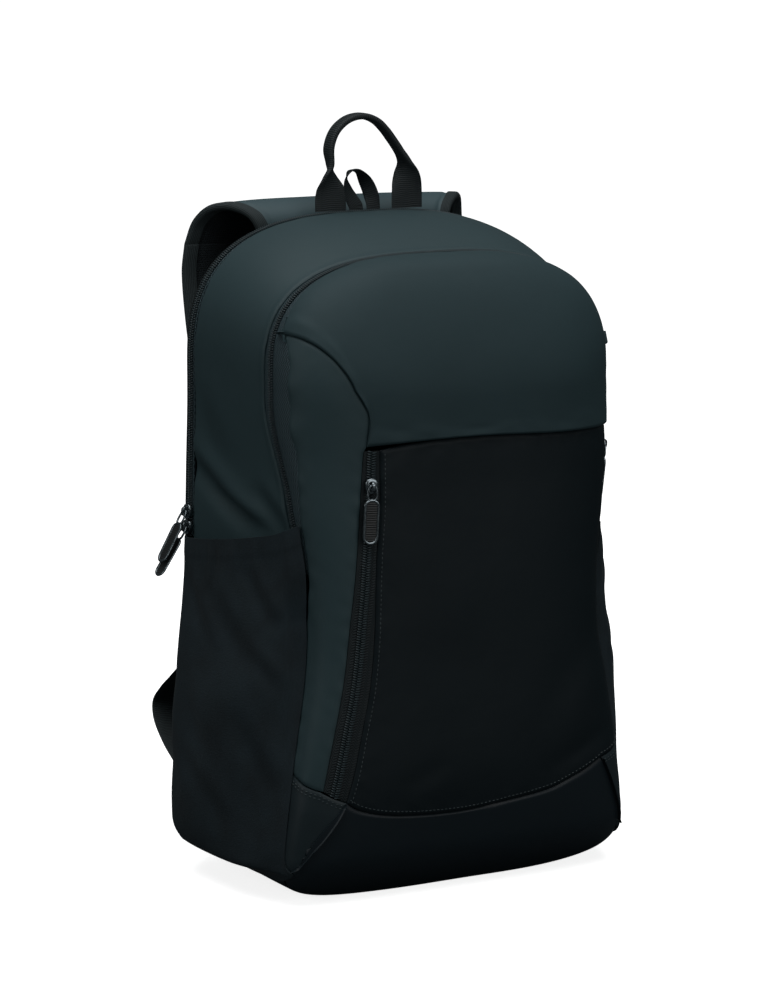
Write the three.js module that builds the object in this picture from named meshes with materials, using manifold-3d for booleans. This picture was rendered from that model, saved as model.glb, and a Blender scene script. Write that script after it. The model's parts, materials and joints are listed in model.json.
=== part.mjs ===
// A laptop backpack, standing on its flat base. Millimetres, +Z up, the front towards -Y.
// The origin is the middle of the base on the floor. Left and right are the viewer's, facing the front.
import * as THREE from 'three';
import { mergeVertices } from 'three/addons/utils/BufferGeometryUtils.js';
import Module from 'manifold-3d';

const wasm = await Module();
wasm.setup();

// Body
const BODY_HEIGHT = 470;
const FRONT_DROP = 20.5;
const BACK_WIDTH = 301;
const FRONT_WIDTH = 270;
const BODY_DEPTH = 137;
const DOME_DEPTH = 62;
const BACK_Y = 77;
const TOP_ARCH = 107;
const BASE_ROUND = 44;
const TOP_POWER = 2.84;
const BACK_BASE_POWER = 2.6;
const FRONT_BASE_POWER = 4.2;
const DOME_POWER = 3.43;
const SIDE_SWELL = 3;

// Cloth
const CLOTH = 1.6;
const PANEL = 2.2;
const SEAM = 0.6;
const CLEAR = 0.4;
const BACK_PAD = 8;
const BACK_EDGE = 2;

// Zips
const ZIP_TAPE = 1.1;
const ZIP_SUNK = 0.9;
const COIL_RISE = 1.5;
const REAR_ZIP_WIDTH = 9;

// Side pockets
const POCKET_HEIGHT = 244;
const POCKET_LIP_RISE = 22;
const POCKET_SWELL = 22;
const POCKET_CLOTH = 1.3;
const HEM = 1.1;

// Webbing
const HANDLE_SPAN = 63;
const HANDLE_RISE = 70;
const HANDLE_WIDTH = 25;
const HANDLE_THICK = 2.4;
const LOOP_WIDTH = 11;
const LOOP_THICK = 1.2;
const LOOP_RISE = 33;
const WEB_WIDTH = 25;
const WEB_THICK = 1.8;

// Shoulder straps
const STRAP_PAD = 9;
const STRAP_EDGE = 4;
const STRAP_STAND = 57;
const BUCKLE_WIDTH = 34;
const BUCKLE_HEIGHT = 20;
const BUCKLE_THICK = 5;
const BUCKLE_BAR = 4;

// Sliders and pullers
const SLIDER_LENGTH = 11;
const SLIDER_WIDTH = 8.6;
const SLIDER_BODY = 2.2;
const BRIDGE_WIDTH = 2.6;
const BRIDGE_LENGTH = 7.4;
const BRIDGE_WALL = 1;
const BRIDGE_GAP = 2.7;
const PULLER_LENGTH = 41;
const PULLER_WIDTH = 11.5;
const PULLER_THICK = 1.4;
const PULLER_BAR = 1.6;
const PULLER_WINDOW = 4.6;
const PULLER_WINDOW_WIDTH = 4.6;
const PULLER_HEAD = 12;
const PULLER_FRAME = 2.8;
const UPPER_PULLER_TILT = 30;
const LOWER_PULLER_TILT = 34.5;

// The body level by level. up: share of BODY_HEIGHT. back: half width at the back seam, share of half
// BACK_WIDTH. front: half width at the front rim, share of half FRONT_WIDTH. deep: back seam to front rim,
// share of BODY_DEPTH. dome: how far the front stands out from its rim, share of DOME_DEPTH.
const LEVELS = [
  { up: 0.0, back: 0.943, front: 1.01, deep: 0.9, dome: 0.2 },
  { up: 0.081, back: 0.987, front: 1.0, deep: 1.0, dome: 0.37 },
  { up: 0.204, back: 0.99, front: 0.948, deep: 0.985, dome: 0.52 },
  { up: 0.409, back: 0.966, front: 0.845, deep: 0.94, dome: 0.59 },
  { up: 0.613, back: 0.95, front: 0.915, deep: 0.85, dome: 0.72 },
  { up: 0.755, back: 0.938, front: 0.965, deep: 0.73, dome: 1.0 },
  { up: 0.93, back: 0.938, front: 0.965, deep: 0.73, dome: 0.75 },
];

// Seams of the front. across: share of half FRONT_WIDTH, right positive. up: share of BODY_HEIGHT.
const SWOOP = [
  { across: -0.93, up: 0.853 },
  { across: -0.871, up: 0.848 },
  { across: -0.802, up: 0.834 },
  { across: -0.733, up: 0.812 },
  { across: -0.667, up: 0.781 },
  { across: -0.603, up: 0.747 },
  { across: -0.585, up: 0.731 },
  { across: -0.598, up: 0.691 },
];
const HEM_LINE = [
  { across: -0.598, up: 0.691 },
  { across: -0.525, up: 0.692 },
  { across: 0.0, up: 0.695 },
  { across: 0.5, up: 0.69 },
  { across: 0.9, up: 0.689 },
];
const ZIP_OUTER = [
  { across: -0.853, up: 0.184 },
  { across: -0.8, up: 0.257 },
  { across: -0.743, up: 0.332 },
  { across: -0.7, up: 0.42 },
  { across: -0.665, up: 0.5 },
  { across: -0.64, up: 0.58 },
  { across: -0.614, up: 0.685 },
];
const ZIP_INNER = [
  { across: -0.733, up: 0.165 },
  { across: -0.689, up: 0.211 },
  { across: -0.646, up: 0.27 },
  { across: -0.602, up: 0.328 },
  { across: -0.573, up: 0.398 },
  { across: -0.55, up: 0.525 },
  { across: -0.528, up: 0.6 },
  { across: -0.525, up: 0.685 },
];
const POCKET_FOOT = [
  { across: -0.733, up: 0.165 },
  { across: -0.67, up: 0.153 },
  { across: -0.541, up: 0.1415 },
  { across: -0.363, up: 0.134 },
  { across: -0.059, up: 0.13 },
  { across: 0.237, up: 0.137 },
  { across: 0.463, up: 0.145 },
  { across: 0.598, up: 0.157 },
  { across: 0.8, up: 0.181 },
];
const WEDGE_EDGE_LEFT = [
  { across: -0.733, up: 0.165 },
  { across: -0.793, up: 0.134 },
  { across: -0.88, up: 0.1 },
  { across: -0.96, up: 0.068 },
];
const WEDGE_EDGE_RIGHT = [
  { across: 0.8, up: 0.181 },
  { across: 0.852, up: 0.153 },
  { across: 0.92, up: 0.11 },
  { across: 0.965, up: 0.07 },
];

// How far the front compartment's zip reaches in from the rim. station: see rimPoint. reach: share of the
// way from the rim to the middle, in the flat chart of the front.
const ZIP_REACH = [
  { station: 2.5, reach: 0.06 },
  { station: 2.56, reach: 0.14 },
  { station: 2.62, reach: 0.19 },
  { station: 2.7, reach: 0.2 },
  { station: 2.85, reach: 0.3 },
  { station: 3.0, reach: 0.345 },
  { station: 3.2, reach: 0.23 },
  { station: 3.4, reach: 0.15 },
  { station: 3.7, reach: 0.105 },
  { station: 4.0, reach: 0.09 },
];
const ZIP_END = 2.67;
const REAR_ZIP_END = 2.625;
const ZIP_REVEAL = 0.028;
const WEDGE_TOP = 2.165;
const BASE_SEAM_BACK = 1.4;
const BASE_SEAM_FRONT = 1.7;

// A side pocket's swell. along: 0 at the back seam, 1 at the front edge, with the swell near the foot (low)
// and near the lip (high). up: 0 at the foot, 1 at the lip. Shares of POCKET_SWELL.
const SWELL_ALONG = [
  { along: 0.0, low: 0.0, high: 0.0 },
  { along: 0.08, low: 0.75, high: 0.62 },
  { along: 0.25, low: 0.8, high: 0.74 },
  { along: 0.5, low: 0.64, high: 0.86 },
  { along: 0.78, low: 0.34, high: 0.9 },
  { along: 0.92, low: 0.2, high: 0.6 },
  { along: 1.0, low: 0.0, high: 0.0 },
];
const SWELL_UP = [
  { up: 0.0, swell: 0.0 },
  { up: 0.08, swell: 0.12 },
  { up: 0.25, swell: 0.75 },
  { up: 0.65, swell: 1.0 },
  { up: 1.0, swell: 0.52 },
];

// The grab handle. across: share of HANDLE_SPAN from the middle. up: share of HANDLE_RISE. turn: how far the
// webbing has turned from facing the front (0) to facing up (1). fold: 0 flat, 1 folded in two along its length.
const HANDLE_PATH = [
  { across: -0.456, up: 0.0, turn: 0.0, fold: 0.0 },
  { across: -0.456, up: 0.11, turn: 0.0, fold: 0.0 },
  { across: -0.457, up: 0.22, turn: 0.05, fold: 0.1 },
  { across: -0.463, up: 0.35, turn: 0.35, fold: 0.6 },
  { across: -0.46, up: 0.48, turn: 0.85, fold: 1.0 },
  { across: -0.475, up: 0.65, turn: 1.0, fold: 1.0 },
  { across: -0.4, up: 0.82, turn: 1.0, fold: 1.0 },
  { across: -0.24, up: 0.935, turn: 1.0, fold: 1.0 },
  { across: -0.05, up: 0.965, turn: 1.0, fold: 1.0 },
  { across: 0.12, up: 0.915, turn: 1.0, fold: 1.0 },
  { across: 0.24, up: 0.82, turn: 1.0, fold: 1.0 },
  { across: 0.33, up: 0.72, turn: 1.0, fold: 1.0 },
  { across: 0.42, up: 0.61, turn: 1.0, fold: 1.0 },
  { across: 0.5, up: 0.49, turn: 0.85, fold: 0.9 },
  { across: 0.53, up: 0.36, turn: 0.35, fold: 0.5 },
  { across: 0.537, up: 0.22, turn: 0.05, fold: 0.1 },
  { across: 0.537, up: 0.11, turn: 0.0, fold: 0.0 },
  { across: 0.537, up: 0.0, turn: 0.0, fold: 0.0 },
];
// The small hanging loop, with across and up as shares of LOOP_RISE.
const LOOP_PATH = [
  { across: -0.15, up: 0.0, turn: 0.0, fold: 0.0 },
  { across: -0.15, up: 0.07, turn: 0.0, fold: 0.0 },
  { across: -0.24, up: 0.22, turn: 0.1, fold: 0.0 },
  { across: -0.34, up: 0.42, turn: 0.3, fold: 0.0 },
  { across: -0.39, up: 0.68, turn: 0.6, fold: 0.0 },
  { across: -0.28, up: 0.87, turn: 0.9, fold: 0.0 },
  { across: -0.09, up: 0.85, turn: 0.9, fold: 0.0 },
  { across: 0.1, up: 0.6, turn: 0.5, fold: 0.0 },
  { across: 0.24, up: 0.28, turn: 0.2, fold: 0.0 },
  { across: 0.28, up: 0.07, turn: 0.0, fold: 0.0 },
  { across: 0.28, up: 0.0, turn: 0.0, fold: 0.0 },
];

// The shoulder straps' middle surface from the top down. up: share of BODY_HEIGHT. stand: distance behind
// the back seam, share of STRAP_STAND. outer, inner: edges, shares of half BACK_WIDTH.
const YOKE_PATH = [
  { up: 0.93, stand: 0.24, outer: 0.5 },
  { up: 0.962, stand: 0.245, outer: 0.51 },
  { up: 0.994, stand: 0.31, outer: 0.55 },
  { up: 1.009, stand: 0.5, outer: 0.63 },
  { up: 1.005, stand: 0.72, outer: 0.695 },
  { up: 0.983, stand: 0.91, outer: 0.74 },
  { up: 0.949, stand: 1.0, outer: 0.767 },
];
const STRAP_PATH = [
  { up: 0.9455, stand: 1.0, outer: 0.769, inner: 0.2 },
  { up: 0.905, stand: 1.0, outer: 0.782, inner: 0.33 },
  { up: 0.84, stand: 0.9, outer: 0.785, inner: 0.36 },
  { up: 0.72, stand: 0.68, outer: 0.78, inner: 0.36 },
  { up: 0.6, stand: 0.56, outer: 0.775, inner: 0.37 },
  { up: 0.47, stand: 0.53, outer: 0.785, inner: 0.42 },
  { up: 0.39, stand: 0.53, outer: 0.82, inner: 0.56 },
  { up: 0.355, stand: 0.53, outer: 0.865, inner: 0.685 },
];
// The lower webbing. across: its middle, share of half BACK_WIDTH.
const WEB_PATH = [
  { up: 0.348, stand: 0.454, across: 0.775 },
  { up: 0.335, stand: 0.526, across: 0.777 },
  { up: 0.319, stand: 0.64, across: 0.78 },
  { up: 0.298, stand: 0.69, across: 0.79 },
  { up: 0.277, stand: 0.84, across: 0.81 },
  { up: 0.251, stand: 1.08, across: 0.83 },
  { up: 0.2255, stand: 1.237, across: 0.845 },
  { up: 0.2, stand: 1.16, across: 0.855 },
  { up: 0.17, stand: 0.84, across: 0.862 },
  { up: 0.149, stand: 0.474, across: 0.868 },
  { up: 0.134, stand: 0.245, across: 0.87 },
];
const ANCHOR_FOOT = 0.085;
const ANCHOR_HEAD = 0.165;

// A smooth curve through a table's columns that never overshoots its rows
function curve(rows, key, value) {
  const x = rows.map((row) => row[key]);
  const y = rows.map((row) => row[value]);
  const last = x.length - 1;
  const rise = x.slice(1).map((next, i) => (y[i + 1] - y[i]) / (next - x[i]));
  const slope = y.map((_, i) => {
    if (i === 0 || i === last) return rise[Math.min(i, last - 1)];
    if (rise[i - 1] * rise[i] <= 0) return 0;
    return 2 / (1 / rise[i - 1] + 1 / rise[i]);
  });
  return (at) => {
    const a = Math.min(Math.max(at, x[0]), x[last]);
    let i = 0;
    while (i < last - 1 && a > x[i + 1]) i += 1;
    const h = x[i + 1] - x[i];
    const s = (a - x[i]) / h;
    const blend = s * s * (3 - 2 * s);
    const tangents = slope[i] * s * (1 - s) ** 2 - slope[i + 1] * s * s * (1 - s);
    return y[i] + (y[i + 1] - y[i]) * blend + h * tangents;
  };
}

const backShare = curve(LEVELS, 'up', 'back');
const frontShare = curve(LEVELS, 'up', 'front');
const deepShare = curve(LEVELS, 'up', 'deep');
const domeShare = curve(LEVELS, 'up', 'dome');
const backHalf = (z) => (backShare(z / BODY_HEIGHT) * BACK_WIDTH) / 2;
const frontHalf = (z) => (frontShare(z / BODY_HEIGHT) * FRONT_WIDTH) / 2;
const rimDepth = (z) => deepShare(z / BODY_HEIGHT) * BODY_DEPTH;
const domeDepth = (z) => domeShare(z / BODY_HEIGHT) * DOME_DEPTH;
const ARCH_FOOT = BODY_HEIGHT - TOP_ARCH;
const FRONT_ARCH = TOP_ARCH - FRONT_DROP;

// One point of the body's outline. station runs 0 to 8 round it, seen from the front: 0 middle of the base,
// 2 left side above the base's corner, 3 left foot of the arch, 4 top middle, then 8 minus the same on the
// right. deep is 0 at the back seam and 1 at the front compartment's rim.
function rimPoint(station, deep) {
  const side = station <= 4 ? -1 : 1;
  const k = station <= 4 ? station : 8 - station;
  const swell = SIDE_SWELL * Math.sin(Math.PI * deep);
  const top = BODY_HEIGHT - FRONT_DROP * deep ** 1.6 + swell;
  let share = 1;
  let z = BASE_ROUND + (ARCH_FOOT - BASE_ROUND) * (k - 2);
  if (k < 2) {
    const angle = ((1 - k / 2) * Math.PI) / 2;
    const power = BACK_BASE_POWER + (FRONT_BASE_POWER - BACK_BASE_POWER) * deep;
    share = Math.cos(angle) ** (2 / power);
    z = Math.max(0, BASE_ROUND * (1 - Math.sin(angle) ** (2 / power)) - 0.5);
  } else if (k > 3) {
    const angle = ((k - 3) * Math.PI) / 2;
    share = Math.abs(Math.cos(angle)) ** (2 / TOP_POWER);
    z = ARCH_FOOT + (top - ARCH_FOOT) * Math.sin(angle) ** (2 / TOP_POWER);
  }
  const half = backHalf(z) * (1 - deep) + frontHalf(z) * deep + swell;
  return new THREE.Vector3(side * share * half, BACK_Y - rimDepth(z) * deep, z);
}

// 1 on the front rim's outline, 0 on the middle line
function frontGauge(x, z) {
  const across = Math.abs(x) / frontHalf(z);
  if (z > ARCH_FOOT) {
    const up = (z - ARCH_FOOT) / FRONT_ARCH;
    return (across ** TOP_POWER + up ** TOP_POWER) ** (1 / TOP_POWER);
  }
  if (z < BASE_ROUND) {
    const down = (BASE_ROUND - z) / BASE_ROUND;
    return (across ** FRONT_BASE_POWER + down ** FRONT_BASE_POWER) ** (1 / FRONT_BASE_POWER);
  }
  return across;
}

// The flat chart of the front spreads its steep border out, so that a grid drawn there is even on the cloth.
// A point at gauge r of the chart lies at gauge 1 - (1 - r) ^ CHART_POWER of the real front.
const CHART_POWER = 3;
const middleOf = (z) => Math.min(Math.max(z, BASE_ROUND), ARCH_FOOT);

function toChart({ across, up }) {
  const x = (across * FRONT_WIDTH) / 2;
  const z = up * BODY_HEIGHT;
  const real = Math.min(frontGauge(x, z), 1);
  const scale = real > 0 ? (1 - (1 - real) ** (1 / CHART_POWER)) / real : 1 / CHART_POWER;
  return new THREE.Vector2(x * scale, middleOf(z) + (z - middleOf(z)) * scale);
}

function frontPoint(chart) {
  const r = Math.min(frontGauge(chart.x, chart.y), 1);
  const real = 1 - (1 - r) ** CHART_POWER;
  const scale = r > 0 ? real / r : CHART_POWER;
  const z = middleOf(chart.y) + (chart.y - middleOf(chart.y)) * scale;
  const dome = domeDepth(z) * Math.max(0, 1 - real ** DOME_POWER) ** (1 / DOME_POWER);
  return new THREE.Vector3(chart.x * scale, BACK_Y - rimDepth(z) - dome, z);
}

// A point of the chart at a share in from the rim
function chartAt(station, reach) {
  const rim = rimPoint(station, 1);
  const middle = middleOf(rim.z);
  return new THREE.Vector2(rim.x * (1 - reach), middle + (rim.z - middle) * (1 - reach));
}

// The whole body skin: deep 0 to 1 on the gusset, and past 1 over the rim on to the front
function skinPoint(station, deep) {
  return deep <= 1 ? rimPoint(station, Math.max(deep, 0)) : frontPoint(chartAt(station, deep - 1));
}

// Outward normal of a surface of two shares, by central differences
function normalOf(surface, a, b, stepA, stepB) {
  const along = surface(a + stepA, b).sub(surface(a - stepA, b));
  const across = surface(a, b + stepB).sub(surface(a, b - stepB));
  const normal = along.cross(across).normalize();
  const here = surface(a, b);
  const core = new THREE.Vector3(0, BACK_Y - BODY_DEPTH / 2, middleOf(here.z));
  return normal.dot(here.sub(core)) < 0 ? normal.negate() : normal;
}

// A closed solid between two grids of points, given row by row
function solidBetween(outer, inner) {
  const rows = outer.length;
  const cols = outer[0].length;
  const positions = [];
  for (const grid of [outer, inner]) {
    for (const row of grid) for (const point of row) positions.push(point.x, point.y, point.z);
  }
  const at = (layer, i, j) => layer * rows * cols + i * cols + j;
  const faces = [];
  const quad = (a, b, c, d) => faces.push(a, b, c, a, c, d);
  for (let i = 0; i < rows - 1; i += 1) {
    for (let j = 0; j < cols - 1; j += 1) {
      quad(at(0, i, j), at(0, i + 1, j), at(0, i + 1, j + 1), at(0, i, j + 1));
      quad(at(1, i, j), at(1, i, j + 1), at(1, i + 1, j + 1), at(1, i + 1, j));
    }
  }
  for (let i = 0; i < rows - 1; i += 1) {
    quad(at(0, i + 1, 0), at(0, i, 0), at(1, i, 0), at(1, i + 1, 0));
    quad(at(0, i, cols - 1), at(0, i + 1, cols - 1), at(1, i + 1, cols - 1), at(1, i, cols - 1));
  }
  for (let j = 0; j < cols - 1; j += 1) {
    quad(at(0, 0, j), at(0, 0, j + 1), at(1, 0, j + 1), at(1, 0, j));
    quad(at(0, rows - 1, j + 1), at(0, rows - 1, j), at(1, rows - 1, j), at(1, rows - 1, j + 1));
  }
  let volume = 0;
  const corner = (n) => new THREE.Vector3().fromArray(positions, 3 * n);
  for (let f = 0; f < faces.length; f += 3) {
    volume += corner(faces[f]).dot(corner(faces[f + 1]).cross(corner(faces[f + 2])));
  }
  if (volume < 0) faces.reverse();
  const geometry = new THREE.BufferGeometry();
  geometry.setAttribute('position', new THREE.Float32BufferAttribute(positions, 3));
  geometry.setIndex(faces);
  geometry.computeVertexNormals();
  return geometry;
}

const grid = (rows, cols, make) =>
  Array.from({ length: rows + 1 }, (_, i) =>
    Array.from({ length: cols + 1 }, (__, j) => make(i / rows, j / cols, i, j)));

// Draws a grid's border in by half a seam, so that two pieces sewn together keep SEAM between them
function drawIn(points, measure) {
  const rows = points.length - 1;
  const cols = points[0].length - 1;
  const edge = (n, last) => (n === 0 ? 1 : n === last ? -1 : 0);
  return points.map((row, i) => row.map((point, j) => {
    const di = edge(i, rows);
    const dj = edge(j, cols);
    const moved = point.clone();
    for (const next of [di && points[i + di][j], dj && points[i][j + dj]]) {
      if (!next) continue;
      const gap = measure(point).distanceTo(measure(next));
      moved.add(next.clone().sub(point).multiplyScalar(Math.min(0.45, SEAM / 2 / Math.max(gap, 0.01))));
    }
    return moved;
  }));
}

// A cloth sheet on a chart: every point is raised along the skin's own normal
function sheetOn(surface, steps, points, raise, thick) {
  const at = (point) => surface(point.x, point.y);
  const shrunk = drawIn(points, at);
  const rows = shrunk.length - 1;
  const cols = shrunk[0].length - 1;
  const layer = (down) => shrunk.map((row, i) => row.map((point, j) => {
    const normal = normalOf(surface, point.x, point.y, steps[0], steps[1]);
    return at(point).addScaledVector(normal, raise(i / rows, j / cols) - down);
  }));
  return solidBetween(layer(0), layer(thick));
}

const frontSurface = (x, y) => frontPoint(new THREE.Vector2(x, y));
const FRONT_STEPS = [0.4, 0.4];
const SKIN_STEPS = [0.01, 0.01];

// A piece of the front between two seams, as points of the chart from its lower seam to its upper one
function frontSheet(lower, upper, rows, raise = () => 0, thick = CLOTH) {
  const points = grid(rows, lower.length - 1, (s, _, __, j) => lower[j].clone().lerp(upper[j], s));
  return sheetOn(frontSurface, FRONT_STEPS, points, raise, thick);
}

// count + 1 evenly spaced chart points along a seam's table, between two shares of its length
function along(table, count, from = 0, to = 1) {
  const points = table.map(toChart).map((p) => new THREE.Vector3(p.x, p.y, 0));
  const line = new THREE.CatmullRomCurve3(points, false, 'centripetal');
  return Array.from({ length: count + 1 }, (_, i) => {
    const p = line.getPointAt(from + ((to - from) * i) / count);
    return new THREE.Vector2(p.x, p.y);
  });
}

const stationAt = (z) => 2 + (z - BASE_ROUND) / (ARCH_FOOT - BASE_ROUND);
const SWOOP_STATION = 3.21;
const STRIP_TIP = 3.17;
const HEM_STATION = stationAt(HEM_LINE[HEM_LINE.length - 1].up * BODY_HEIGHT);

// Every piece that meets the rim is cut at the same stations, so that neighbours share their corners
const RIM_STEP = 0.08;
function rimStations(from, to) {
  const even = Array.from({ length: Math.round(8 / RIM_STEP) }, (_, i) => i * RIM_STEP);
  const corners = [SWOOP_STATION, STRIP_TIP, 8 - HEM_STATION];
  const clear = even.filter((station) => corners.every((c) => Math.abs(c - station) > RIM_STEP / 4));
  const inside = (station) => station > from + RIM_STEP / 4 && station < to - RIM_STEP / 4;
  return [from, ...[...clear, ...corners].filter(inside).sort((a, b) => a - b), to];
}

// Chart points along the rim, or along a line inside it, at the given stations
const alongRim = (stations, reach = () => 0) => stations.map((station) => chartAt(station, reach(station)));

const zipReachShare = curve(ZIP_REACH, 'station', 'reach');
const zipReach = (station) => zipReachShare(Math.min(station, 8 - station));
const SWOOP_STEPS = 10;
const ZIP_STEPS = 10;
const EDGE_STEPS = 6;

// The hood's swept edge, from its tip on the zip to the hem
function swoopLine() {
  const line = along(SWOOP, SWOOP_STEPS);
  line[0] = chartAt(SWOOP_STATION, zipReach(SWOOP_STATION));
  return line;
}

// The hood's lower edge, then its upper edge along the zip, from the swoop's tip to the hem's right end
function hoodPanel() {
  const upper = alongRim(rimStations(SWOOP_STATION, 8 - HEM_STATION), zipReach);
  const swoop = swoopLine();
  const hem = along(HEM_LINE, upper.length - 1 - SWOOP_STEPS);
  const lower = [...swoop, ...hem.slice(1)];
  lower[0] = upper[0].clone().lerp(lower[1], 0.15);
  lower[lower.length - 1] = upper[upper.length - 1].clone();
  upper[upper.length - 1].lerp(upper[upper.length - 2], 0.1);
  return frontSheet(lower, upper, 6, () => PANEL - CLOTH, PANEL);
}

// The strip between the rim's zip and the pocket's zip, from the wedge up to the swoop's tip
function sideStrip() {
  const rim = alongRim(rimStations(WEDGE_TOP, STRIP_TIP), zipReach);
  const swoop = swoopLine().reverse();
  swoop[SWOOP_STEPS].lerp(swoop[SWOOP_STEPS - 1], 0.3);
  const zipSide = along(ZIP_OUTER, rim.length - 1 - SWOOP_STEPS);
  return frontSheet(rim, [...zipSide, ...swoop.slice(1)], 4);
}

// The front pocket's zip tape, with its coil down the middle
function pocketZip() {
  const columns = 4;
  const raise = (s) => (Math.abs(s - 0.5) < 0.2 ? COIL_RISE : 0) - ZIP_SUNK;
  return frontSheet(along(ZIP_OUTER, ZIP_STEPS), along(ZIP_INNER, ZIP_STEPS), columns, raise, ZIP_TAPE);
}

function frontPocket() {
  const right = alongRim(rimStations(8 - HEM_STATION, 8 - WEDGE_TOP), zipReach).reverse();
  const rows = right.length - 1;
  const cols = 12;
  const left = along(ZIP_INNER, rows);
  const foot = along(POCKET_FOOT, cols - 2);
  foot.push(foot[foot.length - 1].clone().lerp(right[0], 0.5), right[0]);
  const head = along(HEM_LINE.slice(1), cols);
  head[0] = left[rows];
  head[cols] = right[rows];
  const points = grid(rows, cols, (s, t, i, j) => {
    const sides = left[i].clone().lerp(right[i], t);
    const ends = foot[j].clone().lerp(head[j], s);
    const low = foot[0].clone().lerp(foot[cols], t);
    const high = head[0].clone().lerp(head[cols], t);
    return sides.add(ends).sub(low.lerp(high, s));
  });
  return sheetOn(frontSurface, FRONT_STEPS, points, () => 0, CLOTH);
}

// The curved panel round the bottom of the front, from the left wedge's tip to the right one's
function bumper() {
  const foot = along(POCKET_FOOT, 14);
  const left = along([...WEDGE_EDGE_LEFT].reverse(), EDGE_STEPS);
  const right = along(WEDGE_EDGE_RIGHT, EDGE_STEPS);
  const upper = [...left, ...foot.slice(1), ...right.slice(1)];
  const count = upper.length - 1;
  const lower = Array.from({ length: count + 1 }, (_, i) => {
    const turn = -BASE_SEAM_FRONT + (2 * BASE_SEAM_FRONT * i) / count;
    return chartAt(turn <= 0 ? -turn : 8 - turn, 0.04);
  });
  return frontSheet(lower, upper, 4, () => 0, PANEL);
}

function wedge(side) {
  const low = BASE_SEAM_FRONT + 0.03;
  const rim = Array.from({ length: EDGE_STEPS + 1 }, (_, i) => {
    const station = low + ((WEDGE_TOP - low) * i) / EDGE_STEPS;
    return chartAt(side < 0 ? station : 8 - station, 0);
  });
  const table = side < 0 ? WEDGE_EDGE_LEFT : WEDGE_EDGE_RIGHT;
  return frontSheet(rim, along([...table].reverse(), EDGE_STEPS), 4, () => 0, CLOTH);
}

// A zip tape on the skin between two stations: its edges are given as deep shares, and its coil is raised
function zipBand(from, to, back, front) {
  const stations = rimStations(from, to);
  const points = grid(stations.length - 1, 4, (_, t, i) => {
    const station = stations[i];
    return new THREE.Vector2(station, back(station) + (front(station) - back(station)) * t);
  });
  const lift = (_, t) => (Math.abs(t - 0.5) < 0.2 ? COIL_RISE : 0) - ZIP_SUNK;
  return sheetOn(skinPoint, SKIN_STEPS, points, lift, ZIP_TAPE);
}

const near = (station) => Math.min(station, 8 - station);
const ZIP_STOP = 0.05;
const rearZipShare = (station) =>
  (near(station) < REAR_ZIP_END - ZIP_STOP / 2 ? 0 : REAR_ZIP_WIDTH / rimDepth(skinPoint(station, 0).z));
const baseSeam = (deep) => BASE_SEAM_BACK + (BASE_SEAM_FRONT - BASE_SEAM_BACK) * deep ** 2;

// The wide band over the top and down both sides, from base seam to base seam
function mainGusset() {
  const up = [
    ...rimStations(BASE_SEAM_BACK, REAR_ZIP_END - ZIP_STOP),
    ...rimStations(REAR_ZIP_END - ZIP_STOP / 4, 4),
  ];
  const stations = [...up, ...up.slice(0, -1).reverse().map((station) => 8 - station)];
  const points = grid(stations.length - 1, 5, (_, t, i) => {
    const flat = stations[i];
    const back = rearZipShare(flat);
    const deep = back + (1 - back) * t;
    const shift = (baseSeam(deep) - BASE_SEAM_BACK) * (1 - near(flat) / 4) * 1.54;
    return new THREE.Vector2(flat + (flat <= 4 ? shift : -shift), deep);
  });
  return sheetOn(skinPoint, SKIN_STEPS, points, () => 0, CLOTH);
}

const rearZip = () => zipBand(REAR_ZIP_END, 8 - REAR_ZIP_END, () => 0, rearZipShare);
const frontZip = () => zipBand(ZIP_END, 8 - ZIP_END, () => 1.01, (station) => 1 + zipReach(station) - ZIP_REVEAL);

// The flat panel that the bag stands on, turned up at both ends to the base seam
function basePanel() {
  const points = grid(20, 4, (s, t) => {
    const turn = (2 * s - 1) * baseSeam(t);
    return new THREE.Vector2(turn, t);
  });
  const surface = (turn, deep) => skinPoint(turn <= 0 ? -turn : 8 - turn, deep);
  const outer = drawIn(points, (p) => surface(p.x, p.y)).map((row) => row.map((p) => surface(p.x, p.y)));
  const inner = outer.map((row) => row.map((p) => {
    const lean = Math.min(1, Math.abs(p.x) / (BACK_WIDTH / 2));
    return new THREE.Vector3(p.x * (1 - (PANEL / 60) * lean ** 4), p.y, p.z + PANEL);
  }));
  return solidBetween(outer, inner);
}

// The padded panel against the wearer's back, thick in the middle and thin at its sewn edge
function backPanel() {
  const inset = 1 - (2 * SEAM) / BACK_WIDTH;
  const edge = (station) => {
    const rim = rimPoint(station, 0);
    return new THREE.Vector2(rim.x * inset, middleOf(rim.z) + (rim.z - middleOf(rim.z)) * inset);
  };
  const rows = 16;
  const cols = 10;
  const points = grid(rows, cols, (s, t) => {
    const left = edge(1 + 2.6 * s);
    const right = edge(7 - 2.6 * s);
    const low = edge(t < 0.5 ? 1 - 2 * t : 9 - 2 * t);
    const high = edge(3.6 + 0.8 * t);
    const corners = edge(1).lerp(edge(7), t).lerp(edge(3.6).lerp(edge(4.4), t), s);
    return left.lerp(right, t).add(low.lerp(high, s)).sub(corners);
  });
  const gauge = (x, z) => {
    const across = Math.abs(x) / backHalf(z);
    const up = z > ARCH_FOOT ? (z - ARCH_FOOT) / TOP_ARCH : Math.max(0, (BASE_ROUND - z) / BASE_ROUND);
    const power = z > ARCH_FOOT ? TOP_POWER : BACK_BASE_POWER;
    return Math.min(1, (across ** power + up ** power) ** (1 / power));
  };
  const layer = (height) => points.map((row) => row.map((p) =>
    new THREE.Vector3(p.x, BACK_Y + height(gauge(p.x, p.y)), p.y)));
  return solidBetween(layer((g) => BACK_EDGE + BACK_PAD * (1 - g ** 5)), layer(() => 0));
}

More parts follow.
